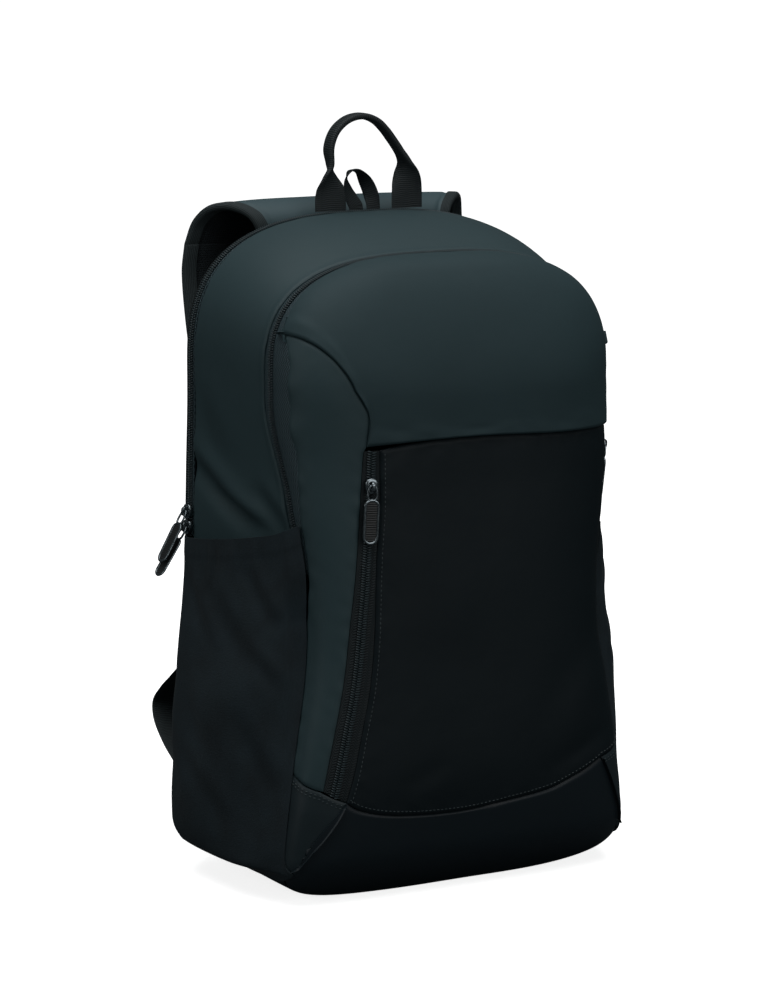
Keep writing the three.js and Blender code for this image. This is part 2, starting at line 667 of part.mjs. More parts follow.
// An open pouch of stretch cloth outside the gusset, with a thicker hem along its lip
function sidePocket(side) {
  const swellLow = curve(SWELL_ALONG, 'along', 'low');
  const swellHigh = curve(SWELL_ALONG, 'along', 'high');
  const swellUp = curve(SWELL_UP, 'up', 'swell');
  const rows = 12;
  const cols = 12;
  const lip = (s) => stationAt(POCKET_HEIGHT + POCKET_LIP_RISE * s ** 1.5);
  const points = grid(rows, cols, (s, t) => {
    const foot = baseSeam(t) + 0.05;
    const station = foot + (lip(t) - foot) * s;
    const reach = station > 2.45 ? zipReach(station) : 0;
    return new THREE.Vector2(side < 0 ? station : 8 - station, 0.02 + (0.98 + reach) * t);
  });
  const rest = CLEAR + POCKET_CLOTH;
  const raise = (s, t) => {
    const high = THREE.MathUtils.smoothstep(s, 0.35, 0.75);
    return rest + POCKET_SWELL * swellUp(s) * (swellLow(t) * (1 - high) + swellHigh(t) * high);
  };
  const layer = (down) => points.map((row, i) => row.map((p, j) => {
    const hem = i === rows || i === rows - 1 ? HEM : 0;
    const lift = raise(i / rows, j / cols) + (down ? -down : hem);
    return skinPoint(p.x, p.y).addScaledVector(normalOf(skinPoint, p.x, p.y, 0.01, 0.01), lift);
  }));
  return solidBetween(layer(0), layer(POCKET_CLOTH));
}

// A flat ribbon along a path: each row gives its middle, the direction across it, its face's normal and its fold
function ribbon(sections, width, thick) {
  const side = (sign) => sections.map(({ middle, across, face, fold = 0 }) => [-0.5, 0.5].map((share) =>
    middle.clone().addScaledVector(across, share * width * (1 - fold / 2))
      .addScaledVector(face, (sign * thick * (1 + fold)) / 2)));
  return solidBetween(side(1), side(-1));
}

// A webbing loop that stands on the top of the bag, its legs facing the front and its middle turned
function standingLoop(table, spanAcross, rise, foot, count, width, thick) {
  const line = new THREE.CatmullRomCurve3(
    table.map((row) => new THREE.Vector3(row.across * spanAcross, foot.y, foot.z + row.up * rise)),
    false, 'centripetal');
  const steps = table.map((row, i) => ({ step: i, ...row }));
  const turn = curve(steps, 'step', 'turn');
  const fold = curve(steps, 'step', 'fold');
  const sections = Array.from({ length: count + 1 }, (_, i) => {
    const step = (i / count) * (table.length - 1);
    const middle = line.getPoint(i / count);
    const way = line.getTangent(i / count);
    const sideways = new THREE.Vector3(0, 1, 0).cross(way).normalize();
    const angle = (turn(step) * Math.PI) / 2;
    const across = sideways.clone().multiplyScalar(Math.cos(angle));
    across.addScaledVector(new THREE.Vector3(0, 1, 0), Math.sin(angle));
    return { middle, across, face: way.clone().cross(across).normalize(), fold: fold(step) };
  });
  return ribbon(sections, width, thick);
}

const topOf = (x) => ARCH_FOOT + TOP_ARCH * (1 - Math.abs((2 * x) / BACK_WIDTH) ** TOP_POWER) ** (1 / TOP_POWER);
const COIL_TOP = COIL_RISE - ZIP_SUNK;
const handleFoot = { y: BACK_Y - HANDLE_THICK * 2, z: topOf(0) + COIL_TOP + CLEAR };
const loopFoot = { y: BACK_Y + BACK_EDGE / 2, z: BODY_HEIGHT + CLEAR };

// A padded strap between two edges: full in the middle and thin along the bound edges
function padded(rows, cols, place) {
  const layer = (sign) => grid(rows, cols, (s, t) => {
    const { point, face } = place(s, t);
    const full = STRAP_EDGE + (STRAP_PAD - STRAP_EDGE) * (1 - Math.abs(2 * t - 1) ** 4);
    return point.addScaledVector(face, (sign * full) / 2);
  });
  return solidBetween(layer(1), layer(-1));
}

// A path in the side view, with the face's normal turned a quarter from its direction
function sidePath(table) {
  const line = new THREE.CatmullRomCurve3(
    table.map((row) => new THREE.Vector3(0, BACK_Y + row.stand * STRAP_STAND, row.up * BODY_HEIGHT)),
    false, 'centripetal');
  return (s) => {
    const way = line.getTangent(s);
    return { point: line.getPoint(s), face: new THREE.Vector3(0, -way.z, way.y) };
  };
}

const stepShare = (table, key) => {
  const read = curve(table.map((row, i) => ({ step: i, [key]: row[key] })), 'step', key);
  return (s) => (read(s * (table.length - 1)) * BACK_WIDTH) / 2;
};

function strapYoke() {
  const path = sidePath(YOKE_PATH);
  const outer = stepShare(YOKE_PATH, 'outer');
  return padded(16, 8, (s, t) => {
    const { point, face } = path(s);
    point.x = outer(s) * (2 * t - 1);
    return { point, face };
  });
}

function shoulderStrap(side) {
  const path = sidePath(STRAP_PATH);
  const outer = stepShare(STRAP_PATH, 'outer');
  const inner = stepShare(STRAP_PATH, 'inner');
  return padded(20, 4, (s, t) => {
    const { point, face } = path(s);
    point.x = side * (inner(s) + (outer(s) - inner(s)) * t);
    return { point, face };
  });
}

// The webbing from the strap's end down to the lower corner, bowed out behind the bag
function strapWeb(side) {
  const path = sidePath(WEB_PATH);
  const across = stepShare(WEB_PATH, 'across');
  const sections = Array.from({ length: 21 }, (_, i) => {
    const { point, face } = path(i / 20);
    point.x = side * across(i / 20);
    return { middle: point, across: new THREE.Vector3(1, 0, 0), face };
  });
  return ribbon(sections, WEB_WIDTH, WEB_THICK);
}

// A plain frame with one slot, which the webbing passes through
function strapBuckle(side) {
  const head = STRAP_PATH[STRAP_PATH.length - 1];
  const slot = BUCKLE_HEIGHT - 2 * BUCKLE_BAR;
  const frame = new THREE.Shape();
  const w = BUCKLE_WIDTH / 2;
  const h = BUCKLE_HEIGHT / 2;
  frame.moveTo(-w, -h).lineTo(w, -h).lineTo(w, h).lineTo(-w, h).closePath();
  const hole = new THREE.Path();
  const sw = WEB_WIDTH / 2 + 1;
  hole.moveTo(-sw, -slot / 2).lineTo(-sw, slot / 2).lineTo(sw, slot / 2).lineTo(sw, -slot / 2).closePath();
  frame.holes.push(hole);
  const geometry = new THREE.ExtrudeGeometry(frame, { depth: BUCKLE_THICK, bevelEnabled: false });
  geometry.rotateX(Math.PI / 2);
  const y = BACK_Y + head.stand * STRAP_STAND + BUCKLE_THICK / 2;
  const x = (side * WEB_PATH[1].across * BACK_WIDTH) / 2;
  return geometry.translate(x, y, head.up * BODY_HEIGHT - BUCKLE_HEIGHT / 2 - CLEAR);
}

// A cloth tab sewn into the lower corner of the back seam, which carries the webbing's end
function anchorTab(side) {
  const foot = ANCHOR_FOOT * BODY_HEIGHT;
  const head = ANCHOR_HEAD * BODY_HEIGHT;
  const far = WEB_PATH[WEB_PATH.length - 1];
  const webY = BACK_Y + far.stand * STRAP_STAND;
  const points = grid(4, 3, (s, t) => {
    const z = foot + (head - foot) * s;
    const narrow = 1 - 0.45 * t;
    const x = side * (backHalf(z) - 1 - (backHalf(z) - 1 - (far.across * BACK_WIDTH) / 2) * t * 0.9);
    const y = BACK_Y + BACK_EDGE + CLEAR + 7 * t + (webY - BACK_Y - 14) * t * t;
    return new THREE.Vector3(x, y, far.up * BODY_HEIGHT + (z - far.up * BODY_HEIGHT) * narrow);
  });
  const lower = points.map((row) => row.map((p) => p.clone().add(new THREE.Vector3(0, CLOTH, 0))));
  return solidBetween(lower, points);
}

// A zip slider: a body on the tape and a bridge over it. Z points out of the cloth and X down the zip.
function sliderGeometry() {
  const toManifold = (geometry) => {
    geometry.deleteAttribute('normal');
    geometry.deleteAttribute('uv');
    const merged = mergeVertices(geometry, 1e-4);
    return new wasm.Manifold(new wasm.Mesh({
      numProp: 3,
      vertProperties: new Float32Array(merged.attributes.position.array),
      triVerts: new Uint32Array(merged.index.array),
    }));
  };
  const outline = new THREE.Shape();
  const l = SLIDER_LENGTH / 2;
  const w = SLIDER_WIDTH / 2;
  outline.moveTo(l, -w * 0.6).lineTo(l, w * 0.6).lineTo(l * 0.2, w * 0.75).lineTo(-l * 0.5, w);
  outline.lineTo(-l, w * 0.8).lineTo(-l, -w * 0.8).lineTo(-l * 0.5, -w).lineTo(l * 0.2, -w * 0.75).closePath();
  const body = new THREE.ExtrudeGeometry(outline, { depth: SLIDER_BODY, bevelEnabled: false });
  const b = BRIDGE_LENGTH / 2;
  const inner = b - BRIDGE_WALL;
  const arch = new THREE.Shape();
  arch.moveTo(-b, -0.5).lineTo(-b, BRIDGE_GAP * 0.7).lineTo(-b * 0.7, BRIDGE_GAP + BRIDGE_WALL);
  arch.lineTo(b * 0.7, BRIDGE_GAP + BRIDGE_WALL).lineTo(b, BRIDGE_GAP * 0.7).lineTo(b, -0.5);
  arch.lineTo(inner, -0.5).lineTo(inner, BRIDGE_GAP).lineTo(-inner, BRIDGE_GAP).lineTo(-inner, -0.5).closePath();
  const bridge = new THREE.ExtrudeGeometry(arch, { depth: BRIDGE_WIDTH, bevelEnabled: false });
  bridge.rotateX(Math.PI / 2).translate(0, BRIDGE_WIDTH / 2, SLIDER_BODY);
  const joined = toManifold(body).add(toManifold(bridge)).getMesh();
  const geometry = new THREE.BufferGeometry();
  geometry.setAttribute('position', new THREE.Float32BufferAttribute(joined.vertProperties, 3));
  geometry.setIndex(new THREE.BufferAttribute(new Uint32Array(joined.triVerts), 1));
  geometry.computeVertexNormals();
  return geometry;
}

// A racetrack puller with its cross bar on the hinge line: X runs down its length from the bar
function pullerGeometry() {
  const half = PULLER_WIDTH / 2;
  const top = -PULLER_BAR / 2;
  const end = top + PULLER_LENGTH;
  const outline = new THREE.Shape();
  outline.moveTo(top, -half * 0.62).lineTo(top + half * 0.5, -half).lineTo(end - half, -half);
  outline.absarc(end - half, 0, half, -Math.PI / 2, Math.PI / 2, false);
  outline.lineTo(top + half * 0.5, half).lineTo(top, half * 0.62).closePath();
  const box = (x0, x1, y) => {
    const hole = new THREE.Path();
    hole.moveTo(x0, -y).lineTo(x0, y).lineTo(x1, y).lineTo(x1, -y).closePath();
    return hole;
  };
  outline.holes.push(box(PULLER_BAR / 2, PULLER_BAR / 2 + PULLER_WINDOW, PULLER_WINDOW_WIDTH / 2));
  const slotHalf = half - PULLER_FRAME;
  const slot = new THREE.Path();
  slot.moveTo(PULLER_HEAD, -slotHalf * 0.6).lineTo(PULLER_HEAD, slotHalf * 0.6);
  slot.lineTo(PULLER_HEAD + 1.2, slotHalf).lineTo(end - half, slotHalf);
  slot.absarc(end - half, 0, slotHalf, Math.PI / 2, -Math.PI / 2, true);
  slot.lineTo(PULLER_HEAD + 1.2, -slotHalf).closePath();
  outline.holes.push(slot);
  const settings = { depth: PULLER_THICK, bevelEnabled: false, curveSegments: 6 };
  return new THREE.ExtrudeGeometry(outline, settings).translate(0, 0, -PULLER_THICK / 2);
}

// Where each slider sits: a point of the skin, the way down its zip, the outward normal and the puller's tilt
// away from lying along the zip, in degrees
function sliderPlaces() {
  const frame = (surface, a, b, steps, down) => {
    const normal = normalOf(surface, a, b, steps[0], steps[1]);
    const along = down.clone().addScaledVector(normal, -down.dot(normal)).normalize();
    return { at: surface(a, b), normal, along };
  };
  const floor = new THREE.Vector3(0, 0, -1);
  const zipMiddle = (share) => {
    const left = along(ZIP_OUTER, 20)[Math.round(share * 20)];
    const right = along(ZIP_INNER, 20)[Math.round(share * 20)];
    return left.lerp(right, 0.5);
  };
  const pocket = zipMiddle(0.9);
  const below = zipMiddle(0.8);
  const pocketWay = frontPoint(below).sub(frontPoint(pocket)).normalize();
  const rear = (station) => frame(skinPoint, station, rearZipShare(4) / 2, SKIN_STEPS, floor);
  const lower = POCKET_HEIGHT + SLIDER_LENGTH / 2 + 2 * CLEAR;
  const upper = lower + SLIDER_LENGTH + CLEAR;
  const parked = 8 - stationAt(POCKET_HEIGHT + POCKET_LIP_RISE + PULLER_LENGTH);
  return [
    { name: 'pocket', tilt: 0, ...frame(frontSurface, pocket.x, pocket.y, FRONT_STEPS, pocketWay) },
    { name: 'rear_upper', tilt: UPPER_PULLER_TILT, ...rear(stationAt(upper)) },
    { name: 'rear_lower', tilt: LOWER_PULLER_TILT, ...rear(stationAt(lower)) },
    { name: 'front', tilt: 0, ...frame(skinPoint, parked, 1 + zipReach(parked) / 2, SKIN_STEPS, floor) },
  ];
}

const fabric = (color, roughness) => new THREE.MeshStandardMaterial({ color, roughness, metalness: 0 });
const SHELL = fabric(0x2b3637, 0.55);
const POCKET_SHELL = fabric(0x222b2c, 0.5);
const GLOSSY = fabric(0x1b2324, 0.38);
const STRETCH = fabric(0x252d2e, 0.62);
const WEBBING = fabric(0x2e3738, 0.7);
const MESH = fabric(0x17191d, 0.9);
const TAPE = fabric(0x273031, 0.75);
const PLASTIC = fabric(0x1a1d1e, 0.45);
const GUNMETAL = new THREE.MeshStandardMaterial({ color: 0x5a5f62, roughness: 0.28, metalness: 1 });

const backpack = new THREE.Group();
function add(name, geometry, material) {
  const mesh = new THREE.Mesh(geometry, material);
  mesh.name = name;
  backpack.add(mesh);
  return mesh;
}

add('back_panel', backPanel(), MESH);
add('main_gusset', mainGusset(), SHELL);
add('rear_zip', rearZip(), TAPE);
add('front_zip', frontZip(), TAPE);
add('hood_panel', hoodPanel(), SHELL);
add('side_strip', sideStrip(), SHELL);
add('pocket_zip', pocketZip(), TAPE);
add('front_pocket', frontPocket(), POCKET_SHELL);
add('bumper', bumper(), GLOSSY);
add('base_panel', basePanel(), GLOSSY);
add('strap_yoke', strapYoke(), MESH);
add('grab_handle', standingLoop(HANDLE_PATH, HANDLE_SPAN, HANDLE_RISE, handleFoot, 36, HANDLE_WIDTH,
  HANDLE_THICK), WEBBING);
add('hang_loop', standingLoop(LOOP_PATH, LOOP_RISE, LOOP_RISE, loopFoot, 20, LOOP_WIDTH, LOOP_THICK), WEBBING);
for (const [word, side] of [['left', -1], ['right', 1]]) {
  add(`wedge_${word}`, wedge(side), POCKET_SHELL);
  add(`side_pocket_${word}`, sidePocket(side), STRETCH);
  add(`shoulder_strap_${word}`, shoulderStrap(side), MESH);
  add(`strap_web_${word}`, strapWeb(side), WEBBING);
  add(`strap_buckle_${word}`, strapBuckle(side), PLASTIC);
  add(`anchor_${word}`, anchorTab(side), SHELL);
}
for (const { name, at, normal, along: way, tilt } of sliderPlaces()) {
  const across = normal.clone().cross(way);
  const seat = new THREE.Matrix4().makeBasis(way, across, normal);
  const body = add(`slider_${name}`, sliderGeometry(), GUNMETAL);
  body.position.copy(at).addScaledVector(normal, COIL_TOP + CLEAR);
  body.quaternion.setFromRotationMatrix(seat);
  const puller = add(`puller_${name}`, pullerGeometry(), GUNMETAL);
  puller.position.copy(body.position).addScaledVector(normal, SLIDER_BODY + BRIDGE_GAP / 2);
  puller.quaternion.copy(body.quaternion);
  puller.rotateY(-THREE.MathUtils.degToRad(tilt));
}

export default backpack;
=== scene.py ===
import json

import bmesh
import bpy
import numpy as np
from mathutils import Matrix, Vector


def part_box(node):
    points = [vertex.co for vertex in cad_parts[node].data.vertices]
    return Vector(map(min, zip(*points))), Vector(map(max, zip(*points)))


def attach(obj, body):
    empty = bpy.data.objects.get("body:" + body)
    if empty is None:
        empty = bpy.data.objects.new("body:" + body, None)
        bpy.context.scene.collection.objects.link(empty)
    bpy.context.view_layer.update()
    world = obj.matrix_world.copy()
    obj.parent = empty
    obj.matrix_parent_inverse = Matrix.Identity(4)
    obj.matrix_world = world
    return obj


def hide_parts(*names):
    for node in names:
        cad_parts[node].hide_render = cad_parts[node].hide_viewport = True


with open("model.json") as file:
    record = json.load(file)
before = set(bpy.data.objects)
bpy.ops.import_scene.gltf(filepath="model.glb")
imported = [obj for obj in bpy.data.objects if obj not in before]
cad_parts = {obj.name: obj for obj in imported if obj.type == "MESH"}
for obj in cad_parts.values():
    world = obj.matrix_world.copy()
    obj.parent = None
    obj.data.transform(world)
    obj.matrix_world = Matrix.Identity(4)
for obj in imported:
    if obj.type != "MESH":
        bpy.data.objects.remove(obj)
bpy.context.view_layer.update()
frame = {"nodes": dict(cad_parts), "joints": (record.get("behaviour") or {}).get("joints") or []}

# Camera: the photograph looks down a little at the bag from its front left, through a long lens.
# Its place and turn come from fitting the body's outline to the photograph, in the part's frame.
yaw, pitch = np.radians(28.3509), np.radians(-10.1087)
forward = np.array([np.sin(yaw) * np.cos(pitch), np.cos(yaw) * np.cos(pitch), np.sin(pitch)])
rightward = np.array([np.cos(yaw), -np.sin(yaw), 0.0])
upward = np.cross(rightward, forward)
camera_data = bpy.data.cameras.new("camera")
camera_data.lens, camera_data.clip_end = 122.6, 60.0
camera = bpy.data.objects.new("camera", camera_data)
camera.matrix_world = Matrix([
    [rightward[i], upward[i], -forward[i], (-1.15914, -2.10152, 0.69664)[i]] for i in range(3)
] + [[0, 0, 0, 1]])
bpy.context.scene.collection.objects.link(camera)
bpy.context.scene.camera = camera


# Studio: a white floor that runs out of sight, one wide soft lamp above the front left, a weak one in front
# and a narrower one on the left. The room itself is dim, so that black cloth stays black.
def add_node(tree, kind, settings=None, links=None):
    """Adds one node, sets its sockets or properties by name or number, and links its inputs."""
    made = tree.nodes.new(kind)
    for name, value in (settings or {}).items():
        if isinstance(name, int) or name in made.inputs:
            made.inputs[name].default_value = value
        else:
            setattr(made, name, value)
    for name, source in (links or {}).items():
        tree.links.new(source, made.inputs[name])
    return made


def linear(code):
    """An sRGB hex colour as linear red, green, blue and alpha: ((c + 0.055) / 1.055) ^ 2.4 above 0.04045."""
    share = np.array([int(code[i:i + 2], 16) / 255 for i in (1, 3, 5)])
    value = np.where(share <= 0.04045, share / 12.92, ((share + 0.055) / 1.055) ** 2.4)
    return (*[float(v) for v in value], 1.0)


bpy.context.scene.view_settings.view_transform = "Standard"
world = bpy.data.worlds.new("studio")
world.use_nodes = True
room = world.node_tree
room.nodes.clear()
ray = add_node(room, "ShaderNodeLightPath")
dim = add_node(room, "ShaderNodeBackground", {"Color": linear("#e6f2f5"), "Strength": 0.09})
white = add_node(room, "ShaderNodeBackground", {"Color": linear("#ffffff"), "Strength": 1.0})
seen = add_node(room, "ShaderNodeMixShader",
                links={0: ray.outputs["Is Camera Ray"], 1: dim.outputs[0], 2: white.outputs[0]})
add_node(room, "ShaderNodeOutputWorld", links={"Surface": seen.outputs[0]})
bpy.context.scene.world = world

floor_mesh = bpy.data.meshes.new("floor")
floor_mesh.from_pydata([(-30, -30, -0.0004), (30, -30, -0.0004), (30, 30, -0.0004), (-30, 30, -0.0004)], [],
                       [(0, 1, 2, 3)])
floor = bpy.data.objects.new("floor", floor_mesh)
bpy.context.scene.collection.objects.link(floor)
# Floor finish with painted light: camera rays see a white glow of strength 0.82 within 0.25 m of the middle,
# rising to 1.0 from 0.9 m out, so the floor reads white where the lamps light it less. Lamplight and the bag's
# real shadow fall on a white diffuse added on top. Other rays see a grey diffuse floor.
glowing_floor = bpy.data.materials.new("white_floor_painted_glow")
glowing_floor.use_nodes = True
glowing_floor.node_tree.nodes.clear()
where = add_node(glowing_floor.node_tree, "ShaderNodeTexCoord")
away = add_node(glowing_floor.node_tree, "ShaderNodeVectorMath", {"operation": "LENGTH"}, {0: where.outputs["Object"]})
# Painted light: the floor's glow grows stronger with distance from the middle.
painted_glow_strength = add_node(glowing_floor.node_tree, "ShaderNodeMapRange",
                {"From Min": 0.25, "From Max": 0.9, "To Min": 0.82, "To Max": 1.0},
                {"Value": away.outputs["Value"]})
ray = add_node(glowing_floor.node_tree, "ShaderNodeLightPath")
grey = add_node(glowing_floor.node_tree, "ShaderNodeBsdfDiffuse", {"Color": linear("#4a4f51")})
painted_floor_glow = add_node(glowing_floor.node_tree, "ShaderNodeEmission", {"Color": linear("#ffffff")},
               {"Strength": painted_glow_strength.outputs[0]})
pale = add_node(glowing_floor.node_tree, "ShaderNodeBsdfDiffuse", {"Color": linear("#ffffff")})
both = add_node(glowing_floor.node_tree, "ShaderNodeAddShader", links={0: painted_floor_glow.outputs[0], 1: pale.outputs[0]})
seen = add_node(glowing_floor.node_tree, "ShaderNodeMixShader",
                links={0: ray.outputs["Is Camera Ray"], 1: grey.outputs[0], 2: both.outputs[0]})
add_node(glowing_floor.node_tree, "ShaderNodeOutputMaterial", links={"Surface": seen.outputs[0]})
floor_mesh.materials.append(glowing_floor)

LAMPS = [
    # name, place, aim, width, height, power
    ("top_softbox", (-0.2, -0.35, 2.3), (0.0, 0.0, 0.35), 2.4, 2.4, 44.0),
    ("front_fill", (0.7, -3.0, 1.0), (0.0, 0.0, 0.2), 1.8, 1.4, 15.0),
    ("left_fill", (-2.6, -0.3, 1.1), (0.0, 0.0, 0.3), 1.2, 1.4, 9.0),
]
for name, place, aim, width, height, power in LAMPS:
    lamp = bpy.data.lights.new(name, "AREA")
    lamp.shape, lamp.size, lamp.size_y, lamp.energy = "RECTANGLE", width, height, power
    holder = bpy.data.objects.new(name, lamp)
    away = np.subtract(place, aim) / np.linalg.norm(np.subtract(place, aim))
    side = np.cross((0, 0, 1), away)
    side /= np.linalg.norm(side)
    over = np.cross(away, side)
    holder.matrix_world = Matrix([[side[i], over[i], away[i], place[i]] for i in range(3)] + [[0, 0, 0, 1]])
    bpy.context.scene.collection.objects.link(holder)


# The wide gusset: one band of coated polyester over the top and down both sides, sewn to the back panel, the
# zips and the base. It stands up by itself because of the foam behind it, and creases only above the pockets.
# The body's form is the part's own: an outline that changes level by level, in millimetres.
HEIGHT, DROP, BACK_Y = 470.0, 20.5, 77.0
BACK_HALF, FRONT_HALF, DEEP, DOME = 150.5, 135.0, 137.0, 62.0
ARCH_FOOT, BASE_ROUND = 363.0, 44.0
TOP_POWER, BACK_BASE_POWER, FRONT_BASE_POWER, DOME_POWER = 2.84, 2.6, 4.2, 3.43
LEVELS = np.array([
    # up, back, front, deep, dome
    (0.0, 0.943, 1.01, 0.9, 0.2),
    (0.081, 0.987, 1.0, 1.0, 0.37),
    (0.204, 0.99, 0.948, 0.985, 0.52),
    (0.409, 0.966, 0.845, 0.94, 0.59),
    (0.613, 0.95, 0.915, 0.85, 0.72),
    (0.755, 0.938, 0.965, 0.73, 1.0),
    (0.93, 0.938, 0.965, 0.73, 0.75),
])
REAR_ZIP_FOOT, REAR_ZIP_WIDE = 2.625, 9.0


def smooth_through(at, knots, values):
    """A cubic curve through the rows that never overshoots: slopes are harmonic means of neighbouring
    rises."""
    knots, values = np.asarray(knots, float), np.asarray(values, float)
    rise = np.diff(values) / np.diff(knots)
    same = rise[:-1] * rise[1:] > 0
    inner = np.where(same, 2 / (1 / np.where(same, rise[:-1], 1) + 1 / np.where(same, rise[1:], 1)), 0)
    slope = np.concatenate([rise[:1], inner, rise[-1:]])
    a = np.clip(at, knots[0], knots[-1])
    i = np.clip(np.searchsorted(knots, a, side="right") - 1, 0, len(knots) - 2)
    h = knots[i + 1] - knots[i]
    s = (a - knots[i]) / h
    blend = s * s * (3 - 2 * s)
    bend = slope[i] * s * (1 - s) ** 2 - slope[i + 1] * s * s * (1 - s)
    return values[i] + (values[i + 1] - values[i]) * blend + h * bend


def level(z, column):
    return smooth_through(np.asarray(z) / HEIGHT, LEVELS[:, 0], LEVELS[:, column])


def rim(station, deep):
    """Outline points. station 0 to 8 runs round it from the middle of the base, deep 0 is the back seam and 1
    the front rim: superellipse corners of the base and the arch, joined by straight sides."""
    station, deep = np.broadcast_arrays(np.asarray(station, float), np.asarray(deep, float))
    k = np.where(station <= 4, station, 8 - station)
    side = np.where(station <= 4, -1.0, 1.0)
    swell = 3.0 * np.sin(np.pi * np.clip(deep, 0, 1))
    top = HEIGHT - DROP * np.clip(deep, 0, 1) ** 1.6 + swell
    low = (1 - np.clip(k / 2, 0, 1)) * np.pi / 2
    power = BACK_BASE_POWER + (FRONT_BASE_POWER - BACK_BASE_POWER) * deep
    high = np.clip(k - 3, 0, 1) * np.pi / 2
    share = np.where(k < 2, np.cos(low) ** (2 / power), np.abs(np.cos(high)) ** (2 / TOP_POWER))
    z_low = np.maximum(0, BASE_ROUND * (1 - np.sin(low) ** (2 / power)) - 0.5)
    z_high = ARCH_FOOT + (top - ARCH_FOOT) * np.sin(high) ** (2 / TOP_POWER)
    z = np.where(k < 2, z_low, np.where(k > 3, z_high, BASE_ROUND + (ARCH_FOOT - BASE_ROUND) * (k - 2)))
    half = level(z, 1) * BACK_HALF * (1 - deep) + level(z, 2) * FRONT_HALF * deep + swell
    return np.stack([side * share * half, BACK_Y - level(z, 3) * DEEP * deep, z], -1)


def gauge(x, z):
    """1 on the front rim's outline and 0 on the middle line."""
    across = np.abs(x) / (level(z, 2) * FRONT_HALF)
    up = np.clip((z - ARCH_FOOT) / (HEIGHT - DROP - ARCH_FOOT), 0, None)
    down = np.clip((BASE_ROUND - z) / BASE_ROUND, 0, None)
    power = np.where(z < BASE_ROUND, FRONT_BASE_POWER, TOP_POWER)
    return (across ** power + np.maximum(up, down) ** power) ** (1 / power)


def middle(z):
    return np.clip(z, BASE_ROUND, ARCH_FOOT)


def to_chart(table):
    """Seam rows (across, up) as points of a flat chart of the front, spread out towards the rim: gauge r of
    the chart is gauge 1 - (1 - r) ^ 3 of the front."""
    x, z = np.asarray(table, float).T * np.array([[FRONT_HALF], [HEIGHT]])
    real = np.clip(gauge(x, z), 1e-6, 1)
    scale = (1 - (1 - real) ** (1 / 3)) / real
    return np.stack([x * scale, middle(z) + (z - middle(z)) * scale], -1)


def front(chart):
    """The domed front over the chart: it stands out from the rim by dome * (1 - gauge ^ p) ^ (1 / p)."""
    r = np.clip(gauge(chart[..., 0], chart[..., 1]), 1e-6, 1)
    real = 1 - (1 - r) ** 3
    z = middle(chart[..., 1]) + (chart[..., 1] - middle(chart[..., 1])) * real / r
    dome = level(z, 4) * DOME * np.maximum(0, 1 - real ** DOME_POWER) ** (1 / DOME_POWER)
    return np.stack([chart[..., 0] * real / r, BACK_Y - level(z, 3) * DEEP - dome, z], -1)


def chart_at(station, reach):
    edge = rim(station, 1.0)
    mid = middle(edge[..., 2])
    return np.stack([edge[..., 0] * (1 - reach), mid + (edge[..., 2] - mid) * (1 - reach)], -1)


def skin(station, deep):
    """The whole skin: deep up to 1 on the gusset, and past 1 over the rim on to the front."""
    over = front(chart_at(station, np.clip(deep - 1, 0, None)))
    return np.where((deep > 1)[..., None], over, rim(station, np.clip(deep, 0, 1)))


def crowd(count, strength=0.8):
    """Shares 0 to 1 that crowd at both ends: t - strength * sin(2 pi t) / (2 pi)."""
    t = np.linspace(0, 1, count + 1)
    return t - strength * np.sin(2 * np.pi * t) / (2 * np.pi)


def normals(points):
    """Outward unit normals of a grid: the cross product of its two directions, turned away from the bag's
    core."""
    along, over = np.gradient(points, axis=0), np.gradient(points, axis=1)
    n = np.cross(along, over)
    size = np.linalg.norm(n, axis=-1, keepdims=True)
    n = n / np.maximum(size, 1e-9)
    core = np.stack([0 * points[..., 0], 0 * points[..., 0] + 10.0, middle(points[..., 2])], -1)
    return n if np.sum(n * (points - core)) > 0 else -n


def lengths(points):
    """Distances in millimetres along both directions of a grid, from its first row and its first column."""
    down = np.zeros(points.shape[:2])
    over = np.zeros(points.shape[:2])
    down[1:] = np.cumsum(np.linalg.norm(np.diff(points, axis=0), axis=-1), axis=0)
    over[:, 1:] = np.cumsum(np.linalg.norm(np.diff(points, axis=1), axis=-1), axis=1)
    return down, over


def from_edge(points):
    """The distance of each grid point from the nearest of its four edges."""
    down, over = lengths(points)
    return np.minimum(np.minimum(down, down[-1:] - down), np.minimum(over, over[:, -1:] - over))


def ripple(points, wave, seed, count=14):
    """Smooth unevenness from -1 to 1: the mean of plane waves of about that length, in seeded directions."""
    dice = np.random.default_rng(seed)
    ways = dice.normal(size=(count, 3))
    ways /= np.linalg.norm(ways, axis=1, keepdims=True) * wave * dice.uniform(0.7, 1.5, (count, 1))
    turn = np.einsum("...k,nk->...n", points, ways) * 2 * np.pi + dice.uniform(0, 2 * np.pi, count)
    return np.sin(turn).mean(-1) * 2.2


def creases(a, b, rows):
    """Folds in a flat view of a surface: each row gives a line's two ends, its width and its depth. A fold is
    a valley, -depth * exp(-(q / width) ^ 2), with a lower ridge beside it, fading out at both ends."""
    lift = 0 * a
    for a0, b0, a1, b1, width, depth in rows:
        way = np.array([a1 - a0, b1 - b0])
        size = np.hypot(*way)
        share = ((a - a0) * way[0] + (b - b0) * way[1]) / size ** 2
        q = ((a - a0) * way[1] - (b - b0) * way[0]) / size
        fade = np.exp(-np.clip(np.maximum(-share, share - 1), 0, None) ** 2 * (size / 12) ** 2)
        fade = fade * np.clip(0.25 + 3 * share * (1 - share), 0, 1)
        lift = lift + fade * depth * (0.55 * np.exp(-((q - 1.7 * width) / width) ** 2)
                                      - np.exp(-(q / width) ** 2))
    return lift


